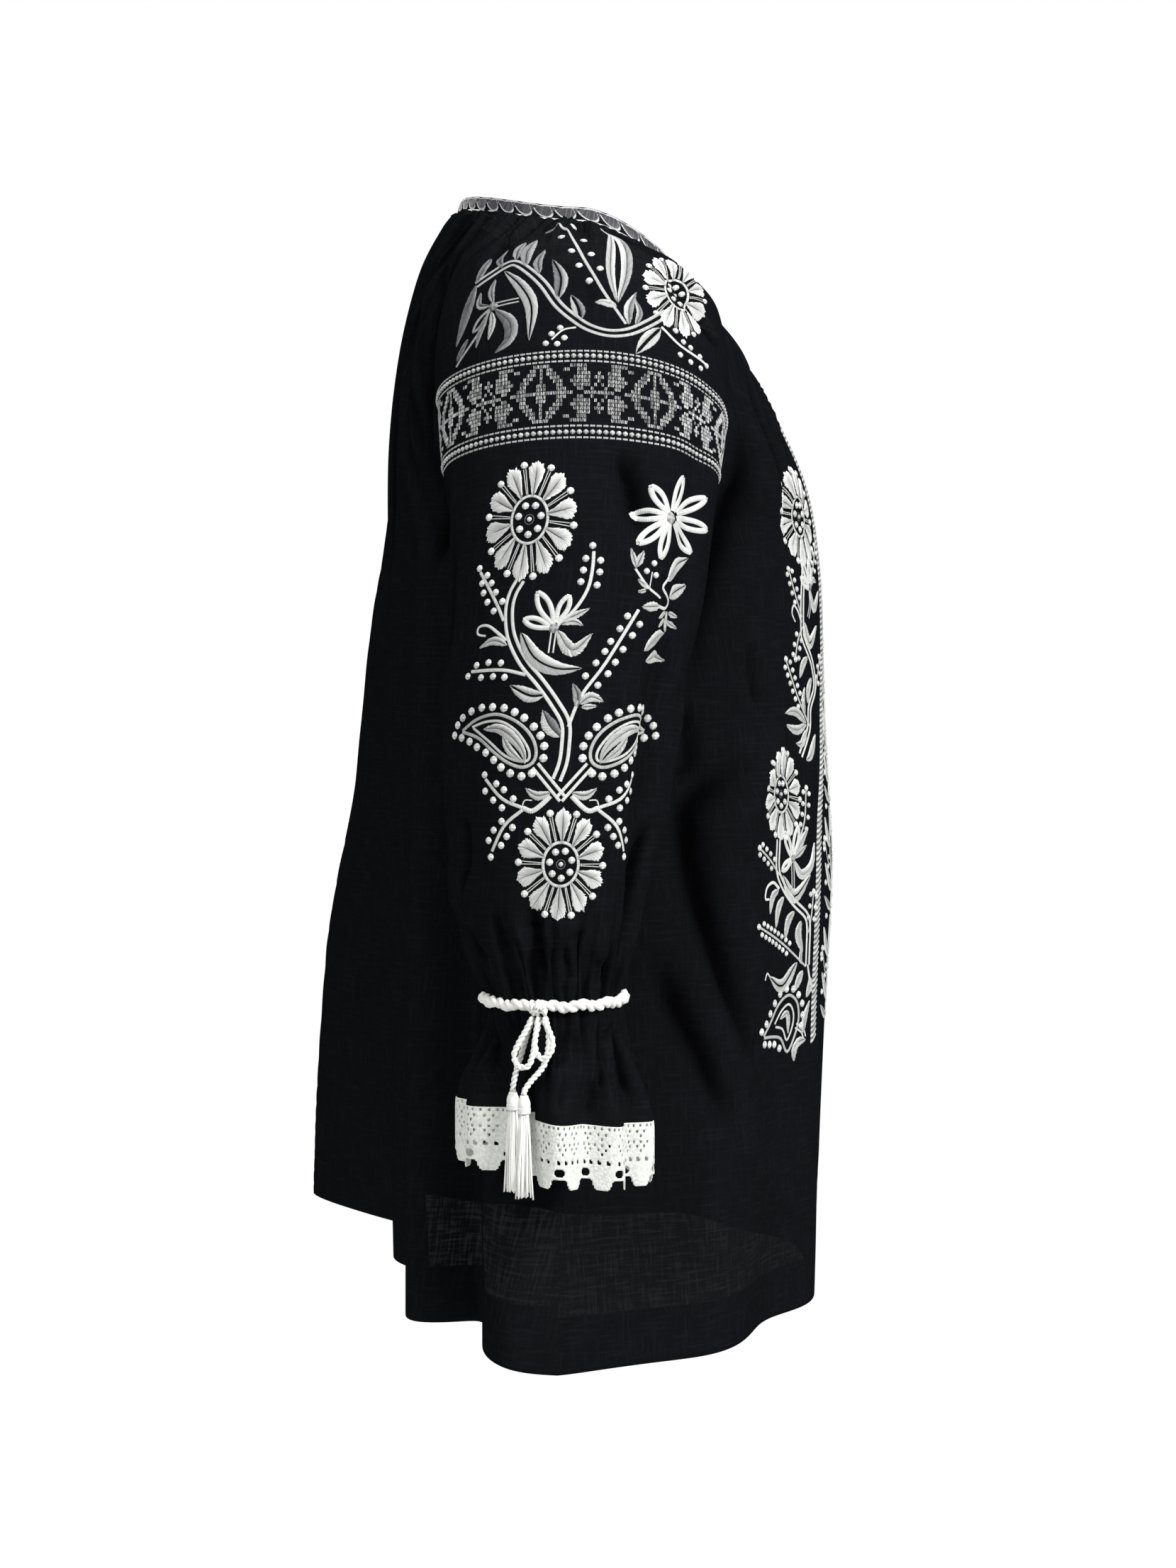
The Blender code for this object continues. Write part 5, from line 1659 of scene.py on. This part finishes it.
# The wearer's right half of the front embroidery in millimetres: across from the centre
# line, then down from the neckband. The left half is the same turned over.
FRONT_ROPE = ((-26, 16), (-30, 90), (-50, 245), (-57, 270), (-66, 300), (-76, 335), (-85, 360),
              (-93, 380), (-99, 405), (-103, 440), (-105, 480), (-106, 557))
FRONT_MOTIFS = (
    ("rope", FRONT_ROPE),
    ("daisy", (-90, 155), 33, 40, 4),
    ("double", ((-95, 197), (-101, 217), (-104, 241), (-102, 250), (-88, 267), (-84, 285),
                (-97, 300), (-101, 316), (-118, 337)), 4.4, 2.3),
    ("sprig", ((-104, 232), (-113, 215), (-120, 197)), 4),
    ("loop", (-86, 208), (-96, 190), 9), ("loop", (-84, 207), (-80, 188), 9),
    ("loop", (-88, 210), (-101, 203), 8), ("leaf", ((-82, 208), (-74, 203), (-66, 205)), 4.9),
    ("leaf", ((-82, 206), (-76, 197), (-68, 194)), 4.9), ("dots", ((-85, 209),), 3.6, 0.5),
    ("sprig", ((-85, 207), (-60, 185), (-40, 168)), 4),
    ("leaf", ((-86, 211), (-77, 225), (-58, 211)), 8.2, 0.2),
    ("double", ((-85, 211), (-86, 222), (-92, 233)), 3, 1.3, 0.8),
    ("leaf", ((-101, 236), (-92, 252), (-73, 238)), 9.8, 1.4, 0.95, 1.0),
    ("stem", ((-105, 236), (-110, 228), (-116, 224), (-119, 230), (-115, 236)), 2.4, 0.9, 0.5),
    ("sprig", ((-104, 240), (-112, 250), (-117, 264)), 3),
    ("sprig", ((-84, 290), (-74, 276), (-63, 262)), 3),
    ("leaf", ((-98, 262), (-106, 268), (-112, 278)), 6.6),
    ("leaf", ((-92, 278), (-98, 286), (-101, 297)), 6.6),
    ("sprig", ((-100, 314), (-116, 292), (-131, 264)), 6),
    ("leaf", ((-107, 305), (-108, 294), (-105, 285)), 4.9),
    ("leaf", ((-106, 312), (-120, 303), (-136, 304)), 7.4, 0.3),
    ("leaf", ((-106, 313), (-120, 317), (-137, 313)), 7.4, 0.3),
    ("leaf", ((-106, 317), (-114, 327), (-123, 327)), 6.6),
    ("leaf", ((-109, 340), (-101, 336), (-90, 321)), 8.2, 0.8),
    ("daisy", (-150, 364), 29, 36, 9),
    ("double", ((-157, 398), (-160, 420), (-151, 434), (-136, 447), (-121, 457), (-117, 466),
                (-117, 482), (-117, 496)), 4.4, 2.3),
    ("stem", ((-117, 495), (-112, 510), (-110, 516))),
    ("sprig", ((-158, 424), (-172, 412), (-188, 402)), 4),
    ("loop", (-139, 412), (-147, 393), 9), ("loop", (-137, 411), (-128, 390), 9),
    ("loop", (-140, 414), (-153, 421), 8), ("leaf", ((-136, 412), (-126, 402), (-115, 391)), 6.6),
    ("leaf", ((-135, 413), (-127, 409), (-119, 404)), 4.9), ("dots", ((-138, 413),), 3.6, 0.5),
    ("leaf", ((-136, 415), (-127, 426), (-113, 420), (-107, 403)), 8.2, 0.2, 0.95, 1.0),
    ("double", ((-138, 416), (-138, 438)), 3, 1.3, 0.8),
    ("sprig", ((-131, 404), (-119, 386), (-113, 361)), 4),
    ("leaf", ((-153, 425), (-137, 442), (-115, 427)), 10.7, 1.5, 0.95, 1.0),
    ("stem", ((-159, 434), (-168, 429), (-178, 432), (-181, 440), (-175, 441)), 2.8, 1.0, 0.4),
    ("leaf", ((-160, 435), (-170, 440), (-174, 452)), 6.6),
    ("leaf", ((-152, 441), (-160, 449), (-164, 463)), 7.4),
    ("leaf", ((-137, 453), (-145, 460), (-149, 473)), 7.4),
    ("leaf", ((-128, 461), (-131, 471), (-125, 485)), 8.2),
    ("sprig", ((-117, 471), (-113, 458), (-110, 440)), 3),
    ("sprig", ((-120, 496), (-152, 476), (-191, 460)), 8),
    ("leaf", ((-126, 494), (-127, 488), (-126, 480)), 4.1),
    ("leaf", ((-132, 492), (-150, 508), (-172, 499)), 10.7, 1.5),
    ("stem", ((-170, 500), (-176, 496), (-179, 501)), 1.6),
    ("leaf", ((-124, 499), (-128, 505), (-134, 514)), 7.4),
    ("leaf", ((-113, 505), (-113, 512), (-118, 520)), 7.4),
    ("paisley",
     ((-178, 543), (-166, 533), (-155, 522), (-141, 516), (-130, 522), (-127, 534), (-131, 546),
      (-141, 559), (-150, 548), (-163, 545), (-178, 544)),
     ((-160, 536), (-150, 527), (-140, 523), (-134, 530), (-135, 540), (-142, 550), (-148, 541),
      (-159, 538)),
     ((-181, 539), (-174, 534), (-168, 527), (-161, 520), (-153, 514), (-144, 511), (-135, 512),
      (-128, 517), (-123, 524), (-122, 533), (-124, 541), (-176, 549), (-168, 550), (-160, 551),
      (-152, 555))),
    ("leaf", ((-152, 533), (-142, 530), (-141, 545)), 4.9),
    ("double", ((-131, 540), (-122, 545), (-118, 552)), 3.4, 1.6),
    ("leaf", ((-122, 547), (-119, 535), (-113, 523)), 6.6),
    ("leaf", ((-128, 552), (-132, 558), (-133, 567)), 6.6),
    ("leaf", ((-118, 552), (-127, 553), (-136, 560)), 6.6),
)
# Half of one repeat of the column between the ropes: across as a share of the way to the
# rope, then down in millimetres. Its middle can't be seen in the photo.
CENTRE_STARTS = range(125, 500, 84)
CENTRE_MOTIFS = (
    ("stem", ((0.6, 83), (0.52, 62), (0.64, 36), (0.6, 1)), 2.2, 0.85),
    ("leaf", ((0.56, 66), (0.72, 58), (0.86, 43)), 8, 0.4, 0.8, 0.95),
    ("leaf", ((0.57, 74), (0.44, 66), (0.36, 52)), 7, 0.4, 0.8, 0.95),
    ("leaf", ((0.62, 32), (0.76, 24), (0.86, 8)), 8, 0.4, 0.8, 0.95),
    ("leaf", ((0.62, 24), (0.5, 14), (0.45, 1)), 7, 0.3, 0.7, 0.9),
    ("leaf", ((0.6, 80), (0.74, 76), (0.87, 68)), 6, 0.3, 0.6, 0.9),
    ("dots", ((0.84, 58), (0.88, 32), (0.8, 0), (0.36, 44), (0.32, 72), (0.4, 80), (0.36, 10)),
     2.3),
    ("sprig", ((0.63, 46), (0.76, 42), (0.87, 24)), 2, 1.5),
)


class BLOUSE_OT_front_embroidery(bpy.types.Operator):
    """Sews the two flower vines, the ropes and the column between them on the front."""

    bl_idname = "blouse.front_embroidery"
    bl_label = "Front embroidery"

    def execute(self, context):
        chart = chart_of("front")
        for tag, side in SIDES:
            vine = Needle(10)
            vine.sew(FRONT_MOTIFS, lambda u, v: (-side * u, v))
            vine.make("embroidery_front_" + tag, chart)
        column = Needle(11)
        column.sprig(((0, 118), (0, 80), (0, 32)), 7)
        rope_across, rope_down = zip(*FRONT_ROPE)
        for start in CENTRE_STARTS:
            for turn in (-1, 1):
                column.sew(CENTRE_MOTIFS, lambda share, drop: (
                    turn * share * np.interp(start + drop, rope_down, rope_across), start + drop,
                ))
            size = -0.3 * np.interp(start + 40, rope_down, rope_across)
            column.daisy((0, start + 40), size, 1.15 * size)
        column.make("embroidery_front_middle", chart)
        return {"FINISHED"}


# Half-round lobes on the neckband, in millimetres: about how wide each is, how deep, and
# how far down it starts. Its half width is this share of the room it has.
LOBE_WIDTH, LOBE_DEPTH = 17.0, 8.8
LOBE_START = 1.6
LOBE_SHARE = 0.42


class BLOUSE_OT_neck_embroidery(bpy.types.Operator):
    """Sews the half-round lobes along the neckband."""

    bl_idname = "blouse.neck_embroidery"
    bl_label = "Neckband lobes"

    def execute(self, context):
        chart = chart_of("neckband")
        needle = Needle(9)
        reach = chart.across[0, -1] / MM
        count = round(2 * reach / LOBE_WIDTH)
        width = 2 * reach / count
        turns = np.linspace(0.0, math.pi, 27)
        longer = chart.across[-1, -1] / chart.across[0, -1]
        for number in range(count):
            middle = -reach + width * (number + 0.5)
            across = middle - LOBE_SHARE * width * np.cos(turns)
            low = LOBE_START + LOBE_DEPTH * np.sin(turns) ** 0.7
            foot = np.stack([across * longer, low], axis=1)
            top = np.stack([across, LOBE_START - 0.8 * np.sin(turns)], axis=1)
            needle.satin(top, foot * [1, 0.97], 0.5, 0.05, 0.2)
            needle.stem(np.concatenate([foot[::2], top[::-4]]), 1.5, 0.9)
        needle.make("lobes_neckband", chart, edge=-5)
        return {"FINISHED"}


# Soft lights: name, place, width in metres and watts. All point at the blouse's middle.
LIGHTS = (
    ("key", (-2.4, -3.0, 1.5), 0.9, 190),
    ("fill", (-3.0, 1.2, 1.1), 0.9, 50),
    ("far fill", (2.6, 1.2, 1.0), 2.0, 45),
)
LIGHT_TARGET = (0.0, 0.0, -0.4)
SKY_STRENGTH = 0.17
CEILING_STRENGTH = 2.5
CEILING_SPREAD_DEG = 60


def area_light(name, place, width, watts):
    """A soft square light that points at the middle of the blouse."""
    data = bpy.data.lights.new(name, "AREA")
    data.size = width
    data.energy = watts
    made = bpy.data.objects.new(name, data)
    made.location = place
    aim = Vector(LIGHT_TARGET) - Vector(place)
    made.rotation_euler = aim.to_track_quat("-Z", "Y").to_euler()
    bpy.context.scene.collection.objects.link(made)


class BLOUSE_OT_stage(bpy.types.Operator):
    """Makes the pale floor, the soft studio light and the camera."""

    bl_idname = "blouse.stage"
    bl_label = "Stage"

    def execute(self, context):
        scene = context.scene
        scene.view_settings.view_transform = "Standard"
        floor = bpy.data.meshes.new("floor")
        turns = np.linspace(0, 2 * math.pi, 96, endpoint=False)
        rim = FLOOR_RADIUS * np.stack([np.cos(turns), np.sin(turns), 0 * turns], axis=1)
        floor.from_pydata((rim + (0, 0, FLOOR_Z)).tolist(), [], [list(range(96))])
        paper, _, shader = new_material("Pale paper floor")
        shader.inputs["Base Color"].default_value = (*colours().floor, 1)
        shader.inputs["Roughness"].default_value = 0.95
        shader.inputs["Specular IOR Level"].default_value = 0.0
        floor.materials.append(paper)
        laid = bpy.data.objects.new("floor", floor)
        scene.collection.objects.link(laid)

        world = bpy.data.worlds.new("Soft white studio")
        scene.world = world
        world.use_nodes = True
        tree = world.node_tree
        background = tree.nodes["Background"]
        background.inputs["Color"].default_value = (1, 1, 1, 1)
        background.inputs["Strength"].default_value = SKY_STRENGTH
        bright = node(tree, "ShaderNodeBackground", {"Color": (1, 1, 1, 1), "Strength": 1.0})
        sight = node(tree, "ShaderNodeLightPath")
        both = node(
            tree, "ShaderNodeMixShader",
            {0: sight.outputs["Is Camera Ray"], 1: background.outputs[0], 2: bright.outputs[0]},
        )
        tree.links.new(both.outputs[0], tree.nodes["World Output"].inputs["Surface"])

        for light in LIGHTS:
            area_light(*light)
        high = bpy.data.lights.new("ceiling", "SUN")
        high.energy = CEILING_STRENGTH
        high.angle = math.radians(CEILING_SPREAD_DEG)
        scene.collection.objects.link(bpy.data.objects.new("ceiling", high))

        data = bpy.data.cameras.new("camera")
        data.sensor_fit = "VERTICAL"
        data.sensor_height = CAMERA_FILM_MM
        data.lens = CAMERA_LENS_MM
        data.clip_start = 0.05
        camera = bpy.data.objects.new("camera", data)
        camera.location = CAMERA_PLACE
        pitch = math.radians(CAMERA_PITCH_DEG)
        look = Vector((math.cos(pitch), 0.0, -math.sin(pitch)))
        camera.rotation_euler = look.to_track_quat("-Z", "Y").to_euler()
        scene.collection.objects.link(camera)
        scene.camera = camera
        return {"FINISHED"}


STEPS = (
    BLOUSE_OT_stage, BLOUSE_OT_drawstrings, BLOUSE_OT_bows, BLOUSE_OT_body, BLOUSE_OT_sleeves,
    BLOUSE_OT_neckband, BLOUSE_OT_ruffles, BLOUSE_OT_lace, BLOUSE_OT_sleeve_embroidery,
    BLOUSE_OT_front_embroidery, BLOUSE_OT_neck_embroidery,
)


class BLOUSE_PT_panel(bpy.types.Panel):
    """Lists the blouse's sizes, colours and pieces."""

    bl_label = "Folk blouse"
    bl_space_type = "VIEW_3D"
    bl_region_type = "UI"
    bl_category = "Blouse"

    def draw(self, context):
        for group in (sizes(), colours()):
            box = self.layout.box()
            for name in group.__annotations__:
                box.prop(group, name)
        for step in STEPS:
            self.layout.operator(step.bl_idname)


CLASSES = (BlouseSizes, BlouseColours, *STEPS, BLOUSE_PT_panel)


def register():
    """Adds the classes and the scene's settings."""
    for item in CLASSES:
        bpy.utils.register_class(item)
    bpy.types.Scene.blouse_sizes = PointerProperty(type=BlouseSizes)
    bpy.types.Scene.blouse_colours = PointerProperty(type=BlouseColours)


def unregister():
    """Takes the classes and the settings away again."""
    del bpy.types.Scene.blouse_colours
    del bpy.types.Scene.blouse_sizes
    for item in reversed(CLASSES):
        bpy.utils.unregister_class(item)


def main():
    """Makes every piece in order."""
    register()
    bpy.ops.blouse.stage()
    bpy.ops.blouse.drawstrings()
    bpy.ops.blouse.bows()
    bpy.ops.blouse.body()
    bpy.ops.blouse.sleeves()
    bpy.ops.blouse.neckband()
    bpy.ops.blouse.ruffles()
    bpy.ops.blouse.lace()
    bpy.ops.blouse.sleeve_embroidery()
    bpy.ops.blouse.front_embroidery()
    bpy.ops.blouse.neck_embroidery()


if __name__ == "__main__":
    main()
